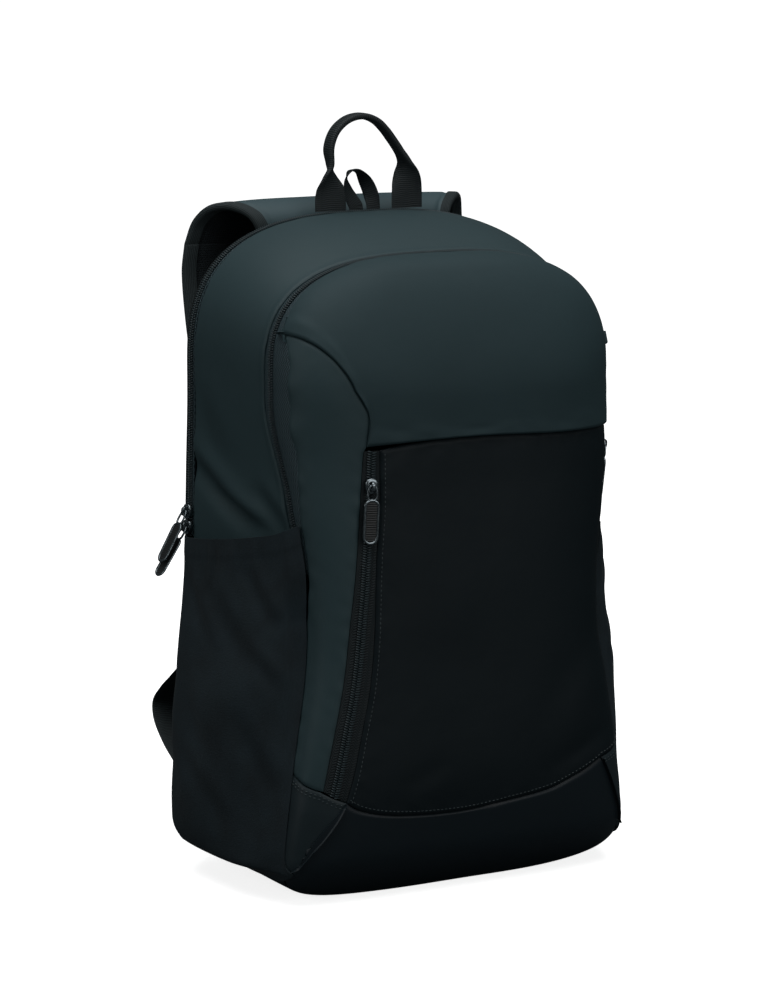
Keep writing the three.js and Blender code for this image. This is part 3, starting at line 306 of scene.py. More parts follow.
def mesh_object(name, corners, faces, uv=None, smooth=True):
    """A piece from corner points in millimetres and faces, with its pattern coordinates in millimetres."""
    mesh = bpy.data.meshes.new(name)
    mesh.from_pydata((np.asarray(corners) * 0.001).tolist(), [], [list(face) for face in faces])
    if uv is not None:
        layer = mesh.uv_layers.new(name="cloth_mm")
        at = np.empty(len(mesh.loops), dtype=np.int32)
        mesh.loops.foreach_get("vertex_index", at)
        layer.data.foreach_set("uv", np.asarray(uv, float)[at].ravel())
    mesh.polygons.foreach_set("use_smooth", np.full(len(mesh.polygons), smooth))
    if smooth:
        mesh.set_sharp_from_angle(angle=np.radians(55))
    mesh.update()
    made = bpy.data.objects.new(name, mesh)
    bpy.context.scene.collection.objects.link(made)
    return made


def grid_faces(rows, cols, start=0):
    at = np.arange(rows * cols).reshape(rows, cols) + start
    return np.stack([at[:-1, :-1], at[1:, :-1], at[1:, 1:], at[:-1, 1:]], -1).reshape(-1, 4)


def closed_sheet(name, outer, inner):
    """A closed sheet between two grids: both faces and the four edges, turned so that its volume is
    positive."""
    rows, cols = outer.shape[:2]
    corners = np.concatenate([outer.reshape(-1, 3), inner.reshape(-1, 3)])
    at = np.arange(rows * cols).reshape(rows, cols)
    ring = np.concatenate([at[0, :-1], at[:-1, -1], at[-1, :0:-1], at[:0:-1, 0]])
    after = np.roll(ring, -1)
    shift = rows * cols
    faces = np.concatenate([
        grid_faces(rows, cols), grid_faces(rows, cols, shift)[:, ::-1],
        np.stack([after, ring, ring + shift, after + shift], -1)[:, ::-1],
    ])
    a, b, c, d = (corners[faces[:, i]] for i in range(4))
    volume = np.sum(a * np.cross(b, c)) + np.sum(a * np.cross(c, d))
    if volume < 0:
        faces = faces[:, ::-1]
    down, over = lengths(outer)
    uv = np.stack([over, down], -1).reshape(-1, 2)
    return mesh_object(name, corners, faces, np.concatenate([uv, uv]))


def draw_in(points, gap):
    """Moves a grid's border in by gap, towards the next row or column."""
    moved = points.copy()
    for edge, beside in ((0, 1), (-1, -2)):
        for axis in (0, 1):
            a, b = np.take(moved, edge, axis), np.take(moved, beside, axis)
            way = b - a
            size = np.maximum(np.linalg.norm(way, axis=-1, keepdims=True), 1e-6)
            shifted = a + way * np.minimum(0.45, gap / size)
            if axis == 0:
                moved[edge] = shifted
            else:
                moved[:, edge] = shifted
    return moved


def sewn_panel(name, points, thick=1.6, lift=0.0, dip=1.3, width=3.2, pucker=0.35):
    """A cut panel sewn all round: raised by lift along its normals, it rolls down into the seam by
    dip * (1 - d / width) ^ 2 and is slightly puckered along it by the stitches."""
    points = draw_in(points, 0.3)
    n, edge = normals(points), from_edge(points)
    roll = dip * (1 - np.clip(edge / width, 0, 1)) ** 2
    gathers = pucker * np.exp(-edge / 7) * ripple(points, 11, len(name))
    outer = points + n * (lift - roll + gathers)[..., None]
    return closed_sheet(name, outer, outer - n * thick)


def dress(piece, material, *nodes, slot="coated_shell", body="bag"):
    """Gives a piece its material and its body and hides the nodes that it stands for. Its slot is not used."""
    piece.data.materials.append(material)
    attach(piece, body)
    if nodes:
        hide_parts(*nodes)
    return piece


def coated_cloth(name, colour, rough, shine=0.4):
    """Polyester with a thin polyurethane coat: even colour with soft clouding, a fine grain of threads under
    the coat and a satin gloss that varies a little. Threads of 0.25 mm wouldn't show, so the grain is 1.1
    mm."""
    material = bpy.data.materials.new(name)
    material.use_nodes = True
    tree = material.node_tree
    tree.nodes.clear()
    where = add_node(tree, "ShaderNodeTexCoord")
    cloud = add_node(tree, "ShaderNodeTexNoise", {"Scale": 14.0, "Detail": 3.0},
                     {"Vector": where.outputs["Object"]})
    grain = add_node(tree, "ShaderNodeTexNoise", {"Scale": 900.0, "Detail": 2.0},
                     {"Vector": where.outputs["Object"]})
    wide = add_node(tree, "ShaderNodeTexNoise", {"Scale": 45.0, "Detail": 4.0},
                    {"Vector": where.outputs["Object"]})
    dark = tuple(c * 0.9 for c in linear(colour)[:3]) + (1.0,)
    light = tuple(min(1.0, c * 1.1) for c in linear(colour)[:3]) + (1.0,)
    tone = add_node(tree, "ShaderNodeMix", {"data_type": "RGBA", 6: dark, 7: light}, {0: cloud.outputs[0]})
    gloss = add_node(tree, "ShaderNodeMapRange", {"To Min": rough - 0.04, "To Max": rough + 0.05},
                     {"Value": wide.outputs[0]})
    fine = add_node(tree, "ShaderNodeBump", {"Strength": 0.12, "Distance": 0.0003},
                    {"Height": grain.outputs[0]})
    soft = add_node(tree, "ShaderNodeBump", {"Strength": 0.25, "Distance": 0.0012},
                    {"Height": wide.outputs[0], "Normal": fine.outputs[0]})
    finish = add_node(tree, "ShaderNodeBsdfPrincipled", {"IOR": 1.46, "Specular IOR Level": shine},
                      {"Base Color": tone.outputs[2], "Roughness": gloss.outputs[0], "Normal": soft.outputs[0]})
    add_node(tree, "ShaderNodeOutputMaterial", links={"Surface": finish.outputs[0]})
    return material


shell_cloth = coated_cloth("polyurethane_coated_polyester", "#26393d", 0.62)


def base_seam(deep):
    return 1.4 + 0.3 * deep ** 2 + 0.11 * deep ** 6


def rear_share(station):
    """The part of the depth that the rear zip takes: nothing below its foot, then its width over the
    depth."""
    near = np.minimum(station, 8 - station)
    open_share = np.clip((near - REAR_ZIP_FOOT + 0.035) / 0.03, 0, 1)
    return open_share * REAR_ZIP_WIDE / (level(rim(station, 0.0)[..., 2], 3) * DEEP)


def even_stations(low, high, count, deep, strength=0.8):
    """Stations between two ends, evenly spaced in millimetres at that depth, but crowded at both ends."""
    dense = np.linspace(low, high, 1500)
    run = np.concatenate([[0], np.cumsum(np.linalg.norm(np.diff(rim(dense, deep), axis=0), axis=-1))])
    return np.interp(crowd(count, strength) * run[-1], run, dense)


deep_shares = crowd(44)
columns = [even_stations(base_seam(t), 8 - base_seam(t), 380, t) for t in deep_shares]
gusset_station = np.stack(columns, 1)
start = rear_share(gusset_station)
gusset_deep = start + (1 - start) * deep_shares[None, :]
gusset = rim(gusset_station, gusset_deep)
gx, gy, gz = np.moveaxis(gusset, -1, 0)
FOLDS_BELOW = 420.0
GUSSET_FOLDS = [
    # y and z of a fold's two ends on the gusset's side, its width and depth
    (74, 300, -6, 258, 8.0, 4.6),
    (44, 280, -20, 260, 5.0, 2.4),
    (-8, 290, -38, 262, 7.0, 1.8),
    (70, 352, 30, 300, 14.0, 1.4),
]
flank = gz < FOLDS_BELOW
sag = creases(gy, gz, GUSSET_FOLDS) * flank * (gx < 0) + creases(gy, gz, GUSSET_FOLDS[1:]) * flank * (gx > 0)
front_lip = 1.0 * np.exp(-((1 - gusset_deep) * DEEP / 5) ** 2) * np.clip((gz - 240) / 30, 0, 1)
main_gusset = sewn_panel("main_gusset_cloth", gusset, lift=sag + 0.8 * ripple(gusset, 150, 3) + front_lip)
dress(main_gusset, shell_cloth, "main_gusset")


# The main compartment's zip: a nylon coil zip sewn between the back panel and the gusset, from above the left
# side pocket over the top to above the right one. Its tape is woven polyester, its two rows of coil are wound
# from 1.8 mm monofilament that meet in the middle.
ZIP_REACH = np.array([
    # station, share of the way from the rim to the middle in the front's chart
    (2.5, 0.06), (2.56, 0.14), (2.62, 0.19), (2.7, 0.2), (2.85, 0.3), (3.0, 0.345), (3.2, 0.23), (3.4, 0.15),
    (3.7, 0.105), (4.0, 0.09),
])
COIL_PITCH = 1.75


def zip_reach(station):
    return smooth_through(np.minimum(station, 8 - station), ZIP_REACH[:, 0], ZIP_REACH[:, 1])


def pocket_reach(station):
    """How far a side pocket's front edge comes round the rim: with the zip at its head, not at all in the
    middle, and again at the foot, where its corner is sewn into the bumper."""
    near = np.minimum(station, 8 - station)
    head = np.clip((near - 2.36) / 0.14, 0, 1)
    foot = np.clip((2.02 - near) / 0.2, 0, 1)
    return zip_reach(station) * head * head * (3 - 2 * head) + 0.33 * foot ** 1.6


def march(strip, pitch):
    """Evenly spaced places along the middle row of a grid three rows wide: points, ways along it, ways across
    it and outward normals, found by the length walked along the row."""
    n, line = normals(strip)[1], strip[1]
    run = np.concatenate([[0], np.cumsum(np.linalg.norm(np.diff(line, axis=0), axis=1))])
    count = max(1, int(run[-1] // pitch))
    at = (np.arange(count) + 0.5) * run[-1] / count
    p, n = (np.stack([np.interp(at, run, a[:, k]) for k in range(3)], -1) for a in (line, n))
    way = np.gradient(p, axis=0) if count > 1 else (line[-1:] - line[:1])
    way -= n * np.sum(way * n, -1, keepdims=True)
    way /= np.linalg.norm(way, axis=1, keepdims=True)
    return p, way, np.cross(n, way), n


def bead(half_length, half_width, half_height, sides=6):
    """A small rounded bar along X: rings of an ellipse that narrow to both ends, as corners and faces."""
    turn = np.arange(sides) * 2 * np.pi / sides
    ring = np.stack([0 * turn, np.cos(turn) * half_width, np.sin(turn) * half_height], -1)
    rings = [ring * (1, w, w) + (x * half_length, 0, 0) for x, w in ((-0.8, 0.7), (0, 1), (0.8, 0.7))]
    corners = np.concatenate([[(-half_length, 0, 0)], *rings, [(half_length, 0, 0)]])
    k = np.arange(sides)
    after, last = (k + 1) % sides, 3 * sides + 1
    faces = np.stack([0 * k, 1 + after, 1 + k], -1).tolist()
    for i in (0, 1):
        base = 1 + i * sides
        faces += np.stack([base + k, base + after, base + after + sides, base + k + sides], -1).tolist()
    faces += np.stack([last + 0 * k, last - sides + k, last - sides + after], -1).tolist()
    return corners, faces


def many(name, shape, p, x, y, z):
    """One mesh of many copies of a small shape: each corner goes to its place p plus its x, y and z along the
    three directions given for that place."""
    corners, faces = shape
    placed = p[:, None] + sum(corners[None, :, i, None] * way[:, None] for i, way in enumerate((x, y, z)))
    flipped = np.sum(np.cross(x[0], y[0]) * z[0]) < 0
    step = len(corners)
    copies = []
    for face in faces:
        at = np.array(face[::-1] if flipped else face)
        copies += (at[None] + np.arange(len(p))[:, None] * step).tolist()
    return mesh_object(name, placed.reshape(-1, 3), copies)


def coil(name, strip, lift, material, *nodes):
    """Two rows of coil turns across a zip, each turn a bar a little aslant, the rows half a pitch apart."""
    p, way, across, n = march(strip, COIL_PITCH)
    half = np.array([1, -1])[:, None, None]
    step = way * COIL_PITCH / 4
    both = (p[None] + across[None] * half * 1.6 + step[None] * half + n[None] * lift).reshape(-1, 3)
    slant = across[None] + way[None] * half * 0.16
    slant = (slant / np.linalg.norm(slant, axis=-1, keepdims=True)).reshape(-1, 3)
    up = np.concatenate([n, n])
    piece = many(name, bead(1.75, 0.62, 1.0), both, slant, np.cross(up, slant), up)
    return dress(piece, material, *nodes, slot="zip_tape")


def woven_tape(name, light, dark, rough, pitch, twill):
    """Woven tape: ridges that run slantwise and turn back every few millimetres, as herringbone does when
    twill is above 0, or straight cross ribs when it is 0. Pitch is in millimetres on the piece's own pattern
    map. The tone follows the ridges' height: light is painted light on the ridges and dark is painted shade in
    the grooves between them."""
    material = bpy.data.materials.new(name)
    material.use_nodes = True
    tree = material.node_tree
    tree.nodes.clear()
    place = add_node(tree, "ShaderNodeUVMap", {"uv_map": "cloth_mm"})
    split = add_node(tree, "ShaderNodeSeparateXYZ", links={0: place.outputs[0]})
    fold = add_node(tree, "ShaderNodeMath", {"operation": "PINGPONG", 1: 2.4}, {0: split.outputs[1]})
    slant = add_node(tree, "ShaderNodeMath", {"operation": "MULTIPLY_ADD", 1: twill},
                     {0: fold.outputs[0], 2: split.outputs[0]})
    turn = add_node(tree, "ShaderNodeMath", {"operation": "MULTIPLY", 1: 2 * np.pi / pitch},
                    {0: slant.outputs[0]})
    wave = add_node(tree, "ShaderNodeMath", {"operation": "SINE"}, {0: turn.outputs[0]})
    share = add_node(tree, "ShaderNodeMapRange", {"From Min": -1.0, "From Max": 1.0},
                     {"Value": wave.outputs[0]})
    where = add_node(tree, "ShaderNodeTexCoord")
    fuzz = add_node(tree, "ShaderNodeTexNoise", {"Scale": 700.0, "Detail": 3.0},
                    {"Vector": where.outputs["Object"]})
    # Painted light and shade: the tone follows the ridges' height, light on the ridges and dark in the grooves.
    tone = add_node(tree, "ShaderNodeMix", {"data_type": "RGBA", 6: linear(dark), 7: linear(light)},
                    {0: share.outputs[0]})
    height = add_node(tree, "ShaderNodeMath", {"operation": "MULTIPLY_ADD", 1: 0.35},
                      {0: fuzz.outputs[0], 2: share.outputs[0]})
    bump = add_node(tree, "ShaderNodeBump", {"Strength": 0.6, "Distance": 0.0004},
                    {"Height": height.outputs[0]})
    finish = add_node(tree, "ShaderNodeBsdfPrincipled",
                      {"Roughness": rough, "IOR": 1.5, "Specular IOR Level": 0.3},
                      {"Base Color": tone.outputs[2], "Normal": bump.outputs[0]})
    add_node(tree, "ShaderNodeOutputMaterial", links={"Surface": finish.outputs[0]})
    return material


def moulded(name, colour, rough, grain):
    """Moulded or drawn plastic: even dark colour, a semi-gloss skin and a fine unevenness of the given
    size."""
    material = bpy.data.materials.new(name)
    material.use_nodes = True
    tree = material.node_tree
    tree.nodes.clear()
    where = add_node(tree, "ShaderNodeTexCoord")
    noise = add_node(tree, "ShaderNodeTexNoise", {"Scale": grain, "Detail": 2.0},
                     {"Vector": where.outputs["Object"]})
    gloss = add_node(tree, "ShaderNodeMapRange", {"To Min": rough - 0.06, "To Max": rough + 0.06},
                     {"Value": noise.outputs[0]})
    dark = tuple(c * 0.85 for c in linear(colour)[:3]) + (1.0,)
    tone = add_node(tree, "ShaderNodeMix", {"data_type": "RGBA", 6: dark, 7: linear(colour)},
                    {0: noise.outputs[0]})
    bump = add_node(tree, "ShaderNodeBump", {"Strength": 0.15, "Distance": 0.0002},
                    {"Height": noise.outputs[0]})
    finish = add_node(tree, "ShaderNodeBsdfPrincipled", {"IOR": 1.53},
                      {"Base Color": tone.outputs[2], "Roughness": gloss.outputs[0], "Normal": bump.outputs[0]})
    add_node(tree, "ShaderNodeOutputMaterial", links={"Surface": finish.outputs[0]})
    return material


# The lighter colour is painted light on the ridges, the darker painted shade between them.
zip_cloth = woven_tape("woven_polyester_zip_tape", "#3b4c51", "#18242a", 0.6, 2.1, 0.8)
coil_nylon = moulded("nylon_monofilament_coil", "#29363a", 0.42, 900.0)

rear_station = even_stations(REAR_ZIP_FOOT, 8 - REAR_ZIP_FOOT, 420, 0.0, 0.4)
rear_across = np.linspace(0, 1, 9)
full_share = REAR_ZIP_WIDE / (level(rim(rear_station, 0.0)[..., 2], 3) * DEEP)
rear_deep = full_share[:, None] * rear_across[None, :]
rear_points = rim(rear_station[:, None], rear_deep)
rear_tape = sewn_panel("rear_zip_tape", rear_points, thick=1.0, lift=-0.9, dip=0.3, width=1.5, pucker=0.0)
dress(rear_tape, zip_cloth, "rear_zip", slot="zip_tape")
coil("rear_zip_coil", np.stack([rear_points[:, 3], rear_points[:, 4], rear_points[:, 5]]), -0.1, coil_nylon)


# The front compartment's zip: the same coil zip in a wider tape, which lies open to view between the gusset's
# edge and the hood. The coil runs close to the gusset and the tape's herringbone shows beside it.
front_station = np.linspace(2.6, 5.4, 320)
front_share = np.linspace(0, 1, 21)
reach_end = zip_reach(front_station) + 0.012
front_deep = 0.965 + (reach_end[:, None] + 0.035) * front_share[None, :]
front_points = skin(front_station[:, None] + 0 * front_deep, front_deep)
tucked = -0.8 - 0.9 * np.exp(-(front_share[None, :] / 0.1) ** 2)
front_tape = sewn_panel("front_zip_tape", front_points, thick=1.0, lift=tucked, dip=0.3, width=1.5, pucker=0.3)
dress(front_tape, zip_cloth, "front_zip", slot="zip_tape")
width_here = np.linalg.norm(front_points[:, -1] - front_points[:, 0], axis=-1)
coil_share = np.clip(5.8 / width_here, 0.2, 0.5)
near_edge = [front(chart_at(front_station, 0.01 + (reach_end - 0.01) * np.clip(coil_share + d, 0, 1)))
             for d in (-0.05, 0, 0.05)]
coil("front_zip_coil", np.stack(near_edge), 0.0, coil_nylon)


# The hood: the domed upper front, cut from the same coated cloth and stiffened with foam. Its lower edge
# sweeps down the left side as a free lip over the strip and ends in the hem that covers the front pocket's
# head.
SWOOP = [(-0.93, 0.853), (-0.871, 0.848), (-0.802, 0.834), (-0.733, 0.812), (-0.667, 0.781), (-0.603, 0.747),
         (-0.585, 0.731), (-0.598, 0.691)]
HEM_LINE = [(-0.598, 0.691), (-0.525, 0.692), (0.0, 0.695), (0.5, 0.69), (0.9, 0.689)]
SWOOP_STATION, HEM_STATION = 3.21, 2 + (0.689 * HEIGHT - BASE_ROUND) / (ARCH_FOOT - BASE_ROUND)


def spline(rows, at):
    """A centripetal Catmull-Rom curve through rows of points, read at row numbers that need not be whole: a
    cubic between neighbours whose slopes come from the square roots of the distances between rows."""
    p = np.asarray(rows, float)
    p = np.concatenate([[2 * p[0] - p[1]], p, [2 * p[-1] - p[-2]]])
    root = np.sqrt(np.maximum(np.linalg.norm(np.diff(p, axis=0), axis=1), 1e-9))
    i = np.clip(np.asarray(at).astype(int), 0, len(p) - 4)
    s = (np.asarray(at) - i)[:, None]
    a, b, c = (root[i + k][:, None] for k in range(3))
    p0, p1, p2, p3 = (p[i + k] for k in range(4))
    v1 = ((p1 - p0) / a - (p2 - p0) / (a + b) + (p2 - p1) / b) * b
    v2 = ((p2 - p1) / b - (p3 - p1) / (b + c) + (p3 - p2) / c) * b
    return p1 + v1 * s + (3 * (p2 - p1) - 2 * v1 - v2) * s ** 2 + (2 * (p1 - p2) + v1 + v2) * s ** 3


def seam(table, shares):
    """Chart points at shares of a seam's length."""
    line = spline(to_chart(table), np.linspace(0, len(table) - 1, 1500))
    run = np.concatenate([[0], np.cumsum(np.linalg.norm(np.diff(line, axis=0), axis=1))])
    return np.stack([np.interp(shares * run[-1], run, line[:, k]) for k in (0, 1)], -1)


def between(lower, upper, rows):
    """A grid of chart points from a lower seam to an upper one, put on the domed front."""
    share = crowd(rows)[:, None, None]
    return front(lower[None] * (1 - share) + upper[None] * share)


hood_cloth = coated_cloth("foam_backed_coated_polyester", "#25373b", 0.7, shine=0.3)
u = np.linspace(0, 1, 341)
turn_at = 0.4
hood_station = SWOOP_STATION + (8 - HEM_STATION - 0.01 - SWOOP_STATION) * u
hood_upper = chart_at(hood_station, zip_reach(hood_station))
swoop_part = seam(SWOOP, np.clip(0.02 + 0.98 * u / turn_at, 0, 1))
hem_part = seam(HEM_LINE, np.clip((u - turn_at) / (1 - turn_at), 0, 1))
hood_lower = np.where((u < turn_at)[:, None], swoop_part, hem_part)
hood_lower[-1] = chart_at(np.array(8 - HEM_STATION), zip_reach(8 - HEM_STATION))
hood_points = between(hood_lower, hood_upper, 64)
hood_down, _ = lengths(hood_points)
lip = 0.8 * np.exp(-(hood_down / 14) ** 2)
soft_side = 0.7 * ripple(hood_points, 120, 5) + 0.25 * ripple(hood_points, 45, 6)
hood_lift = 0.9 + lip + soft_side + 0.5 * np.exp(-((hood_down - 12) / 6) ** 2) * ripple(hood_points, 26, 8)
hood = sewn_panel("hood_cloth", hood_points, thick=2.4, lift=hood_lift, dip=1.1, width=3.0, pucker=0.25)
dress(hood, hood_cloth, "hood_panel")


# The side strip: a narrow panel between the two zips on the left of the front, which runs up under the hood's
# lip. Zip tape pulls its long edge into small waves.
ZIP_OUTER = [(-0.853, 0.184), (-0.8, 0.257), (-0.743, 0.332), (-0.7, 0.42), (-0.665, 0.5), (-0.64, 0.58),
             (-0.614, 0.685)]
WEDGE_TOP = 2.165
v = np.linspace(0, 1, 301)
strip_turn = 0.7
strip_station = WEDGE_TOP + (3.2 - WEDGE_TOP) * v
strip_reach = pocket_reach(strip_station) * (1 - 0.16 * np.exp(-((strip_station - 2.98) / 0.13) ** 2)) + 0.004
strip_rim = chart_at(strip_station, strip_reach)
strip_zip = seam(ZIP_OUTER, np.clip(v / strip_turn, 0, 1))
strip_swoop = seam(SWOOP[::-1], np.clip(0.985 * (v - strip_turn) / (1 - strip_turn), 0, 1))
strip_upper = np.where((v < strip_turn)[:, None], strip_zip, strip_swoop)
strip_points = between(strip_rim, strip_upper, 36)
strip_down, _ = lengths(strip_points)
strip_z = strip_points[..., 2]
waves = 1.1 * np.exp(-strip_down / 6) * np.sin(strip_z / 5.2) * np.exp(-((strip_z - 350) / 45) ** 2)
under_pouch = np.clip((2.62 - strip_station) / 0.2, 0, 1)[None, :]
tucked_edge = 1.7 * np.exp(-(strip_down / 7) ** 2) * under_pouch ** 2 * (3 - 2 * under_pouch)
strip_lift = -0.2 + waves + tucked_edge + 0.6 * ripple(strip_points, 70, 11)
strip = sewn_panel("side_strip_cloth", strip_points, lift=strip_lift, dip=0.8, pucker=0.35)
dress(strip, shell_cloth, "side_strip")


# The front pocket's zip: the same coil zip in a short length beside the pocket, closed at the top under the
# hood.
ZIP_INNER = [(-0.733, 0.165), (-0.689, 0.211), (-0.646, 0.27), (-0.602, 0.328), (-0.573, 0.398), (-0.55, 0.525),
             (-0.528, 0.6), (-0.525, 0.685)]
share = np.linspace(0, 1, 161)
outer_line, inner_line = seam(ZIP_OUTER, share), seam(ZIP_INNER, share)
pocket_tape_points = front(outer_line[None] + (inner_line - outer_line)[None]
                           * np.linspace(0, 1, 11)[:, None, None])
pocket_tape = sewn_panel("pocket_zip_tape", pocket_tape_points, thick=1.0, lift=-0.8, dip=0.3, width=1.5,
                         pucker=0.2)
# The lighter colour is painted light on the ridges, the darker painted shade between them.
pocket_zip_cloth = woven_tape("dark_polyester_zip_tape", "#172124", "#0a1113", 0.65, 1.9, 0.8)
dress(pocket_tape, pocket_zip_cloth, "pocket_zip", slot="zip_tape")
coil("pocket_zip_coil", pocket_tape_points[4:7], 0.0, coil_nylon)


# The front pocket: one flat panel of a closer, darker coated cloth, sewn over the bumper at its foot and
# under the hood's hem at its head, tucked into the zip's tape on the left.
def inside(points, gap):
    """The line that lies gap millimetres inside a grid's first row, with its neighbours on both sides."""
    down, _ = lengths(points)
    rows = []
    for d in (gap - 0.8, gap, gap + 0.8):
        i = np.clip((down < d).sum(0) - 1, 0, len(down) - 2)[None]
        low, high = (np.take_along_axis(down, i + k, 0)[0] for k in (0, 1))
        a, b = (np.take_along_axis(points, (i + k)[..., None], 0)[0] for k in (0, 1))
        rows.append(a + (b - a) * ((d - low) / np.maximum(high - low, 1e-9))[:, None])
    return np.stack(rows)


thread = moulded("bonded_polyester_thread", "#2f3b3e", 0.5, 1500.0)


def stitches(name, strip, lift=0.15, pitch=3.2):
    """A row of lockstitches along the middle of a three-row grid: bars of thread that end in their holes."""
    p, way, across, n = march(strip, pitch)
    piece = many(name, bead(0.3 * pitch, 0.33, 0.3), p + n * lift, way, across, n)
    return dress(piece, thread)


POCKET_FOOT = [(-0.733, 0.165), (-0.67, 0.153), (-0.541, 0.1415), (-0.363, 0.134), (-0.059, 0.13),
               (0.237, 0.137), (0.463, 0.145), (0.598, 0.157), (0.8, 0.181)]
pocket_cloth = coated_cloth("close_woven_coated_polyester", "#0d171b", 0.55, shine=0.22)
s, t = crowd(130), crowd(150)
left_line = seam(ZIP_INNER, s)
right_station = (8 - WEDGE_TOP) - ((8 - WEDGE_TOP) - (8 - HEM_STATION)) * s
right_line = chart_at(right_station, zip_reach(right_station))
foot_line = seam(POCKET_FOOT, np.clip(t * 1.2, 0, 1))
foot_line += (right_line[0] - foot_line[-1]) * np.clip((t - 1 / 1.2) / (1 - 1 / 1.2), 0, 1)[:, None]
head_line = seam(HEM_LINE[1:], t)
head_line += ((left_line[-1] - head_line[0]) * ((1 - t) ** 8)[:, None]
              + (right_line[-1] - head_line[-1]) * (t ** 8)[:, None])
a, b = s[:, None, None], t[None, :, None]
sides = left_line[:, None] * (1 - b) + right_line[:, None] * b
ends = foot_line[None] * (1 - a) + head_line[None] * a
ends_low = foot_line[0] * (1 - b) + foot_line[-1] * b
ends_high = head_line[0] * (1 - b) + head_line[-1] * b
pocket_points = front(sides + ends - (ends_low * (1 - a) + ends_high * a))
px, _, pz = np.moveaxis(pocket_points, -1, 0)
under_hem = -1.3 * np.exp(-((pz - 330) / 16) ** 2)
POCKET_FOLDS = [
    # x and z of a fold's two ends on the pocket, its width and depth
    (-70, 250, -52, 140, 12, 0.7),
    (40, 110, 108, 180, 16, 0.8),
    (60, 82, 118, 108, 7, 0.6),
    (-60, 84, -20, 100, 8, 0.5),
]
pocket_lift = 0.6 + under_hem + 0.9 * ripple(pocket_points, 110, 21) + 0.2 * ripple(pocket_points, 38, 22)
pocket_lift += creases(px, pz, POCKET_FOLDS)
pocket = sewn_panel("front_pocket_cloth", pocket_points, lift=pocket_lift, pucker=0.4)
dress(pocket, pocket_cloth, "front_pocket")
pocket_drawn = pocket_points + normals(pocket_points) * pocket_lift[..., None]
stitches("pocket_foot_stitches", inside(pocket_drawn, 3.6)[:, 3:-22])
stitches("pocket_zip_stitches", inside(np.swapaxes(pocket_drawn, 0, 1), 3.4)[:, 3:-6])


# The bumper: a stiff glossy coated panel round the bottom of the front, which takes the wear. It is moulded
# over foam, so it is smooth, and only its upper edge is drawn in a little by the seam.
WEDGE_LEFT = [(-0.733, 0.165), (-0.793, 0.134), (-0.88, 0.1), (-0.96, 0.068)]
WEDGE_RIGHT = [(0.8, 0.181), (0.852, 0.153), (0.92, 0.11), (0.965, 0.07)]
bumper_cloth = coated_cloth("glossy_coated_polyester", "#151e23", 0.42, shine=0.3)
w = np.linspace(0, 1, 281)
low_turn, high_turn = 0.23, 0.77
left_part = seam(WEDGE_LEFT[::-1], np.clip(w / low_turn, 0, 1))
foot_part = seam(POCKET_FOOT, np.clip((w - low_turn) / (high_turn - low_turn), 0, 1))
right_part = seam(WEDGE_RIGHT, np.clip((w - high_turn) / (1 - high_turn), 0, 1))
bumper_upper = np.where((w < low_turn)[:, None], left_part,
                        np.where((w > high_turn)[:, None], right_part, foot_part))
bumper_turn = -1.81 + 3.62 * w
bumper_lower = chart_at(np.where(bumper_turn <= 0, -bumper_turn, 8 - bumper_turn), 0.04 + 0 * w)
bumper_points = between(bumper_lower, bumper_upper, 44)
bumper_lift = 0.3 + 0.5 * ripple(bumper_points, 90, 31)
bumper = sewn_panel("bumper_cloth", bumper_points, thick=2.2, lift=bumper_lift, dip=1.2, width=3.6, pucker=0.0)
dress(bumper, bumper_cloth, "bumper", slot="gloss_shell")


# The wedges: stitched triangles at the front's lower corners, where the strip, the bumper and the base meet.
wedge_cloth = coated_cloth("coated_polyester_offcut", "#1b262a", 0.5, shine=0.35)
for side, word, table in ((-1, "left", WEDGE_LEFT), (1, "right", WEDGE_RIGHT)):
    edge_station = 1.83 + (WEDGE_TOP - 1.83) * crowd(60)
    edge_line = chart_at(edge_station if side < 0 else 8 - edge_station, pocket_reach(edge_station) + 0.004)
    share = crowd(30)[:, None, None]
    wedge_chart = edge_line[None] * (1 - share) + seam(table[::-1], crowd(60))[None] * share
    bend = np.minimum(crowd(30) / 0.734, (1 - crowd(30)) / 0.266)[:, None] * 3.9 * crowd(60)[None, :] ** 8
    wedge_chart[..., 1] += bend * (side < 0)
    wedge_points = front(wedge_chart)
    wedge_lift = 1.0 + 0.3 * ripple(wedge_points, 25, 41)
    wedge = sewn_panel(f"wedge_cloth_{word}", wedge_points, lift=wedge_lift, dip=0.6, width=2.5, pucker=0.0)
    dress(wedge, wedge_cloth, f"wedge_{word}")
    for number, gap in enumerate((2.4, 4.6)):
        drawn = wedge_points + normals(wedge_points) * wedge_lift[..., None]
        stitches(f"wedge_stitches_{word}_{number}", inside(np.swapaxes(drawn, 0, 1)[::-1], gap)[:, 2:-2])


# The base: the flat bottom, of the bumper's glossy cloth over a board, turned up at both ends to the base
# seam.
m, d = crowd(150)[:, None], crowd(50)[None, :]
base_turn = (2 * m - 1) * base_seam(d)
base_points = rim(np.where(base_turn <= 0, -base_turn, 8 - base_turn), d + 0 * m)
base_points = draw_in(base_points, 0.4)
lean = np.minimum(1, np.abs(base_points[..., 0]) / BACK_HALF)
base_inner = base_points * np.stack([1 - 2.2 / 60 * lean ** 4, 1 + 0 * lean, 1 + 0 * lean], -1) + (0, 0, 2.2)
base = closed_sheet("base_cloth", base_points, base_inner)
dress(base, bumper_cloth, "base_panel", slot="gloss_shell")


# The back panel: foam under a knitted spacer mesh that lets air through, sewn flat all round and pressed into
# two upright pads with a channel between them.
BACK_PAD, BACK_EDGE = 8.0, 2.0
TOP_ARCH = HEIGHT - ARCH_FOOT


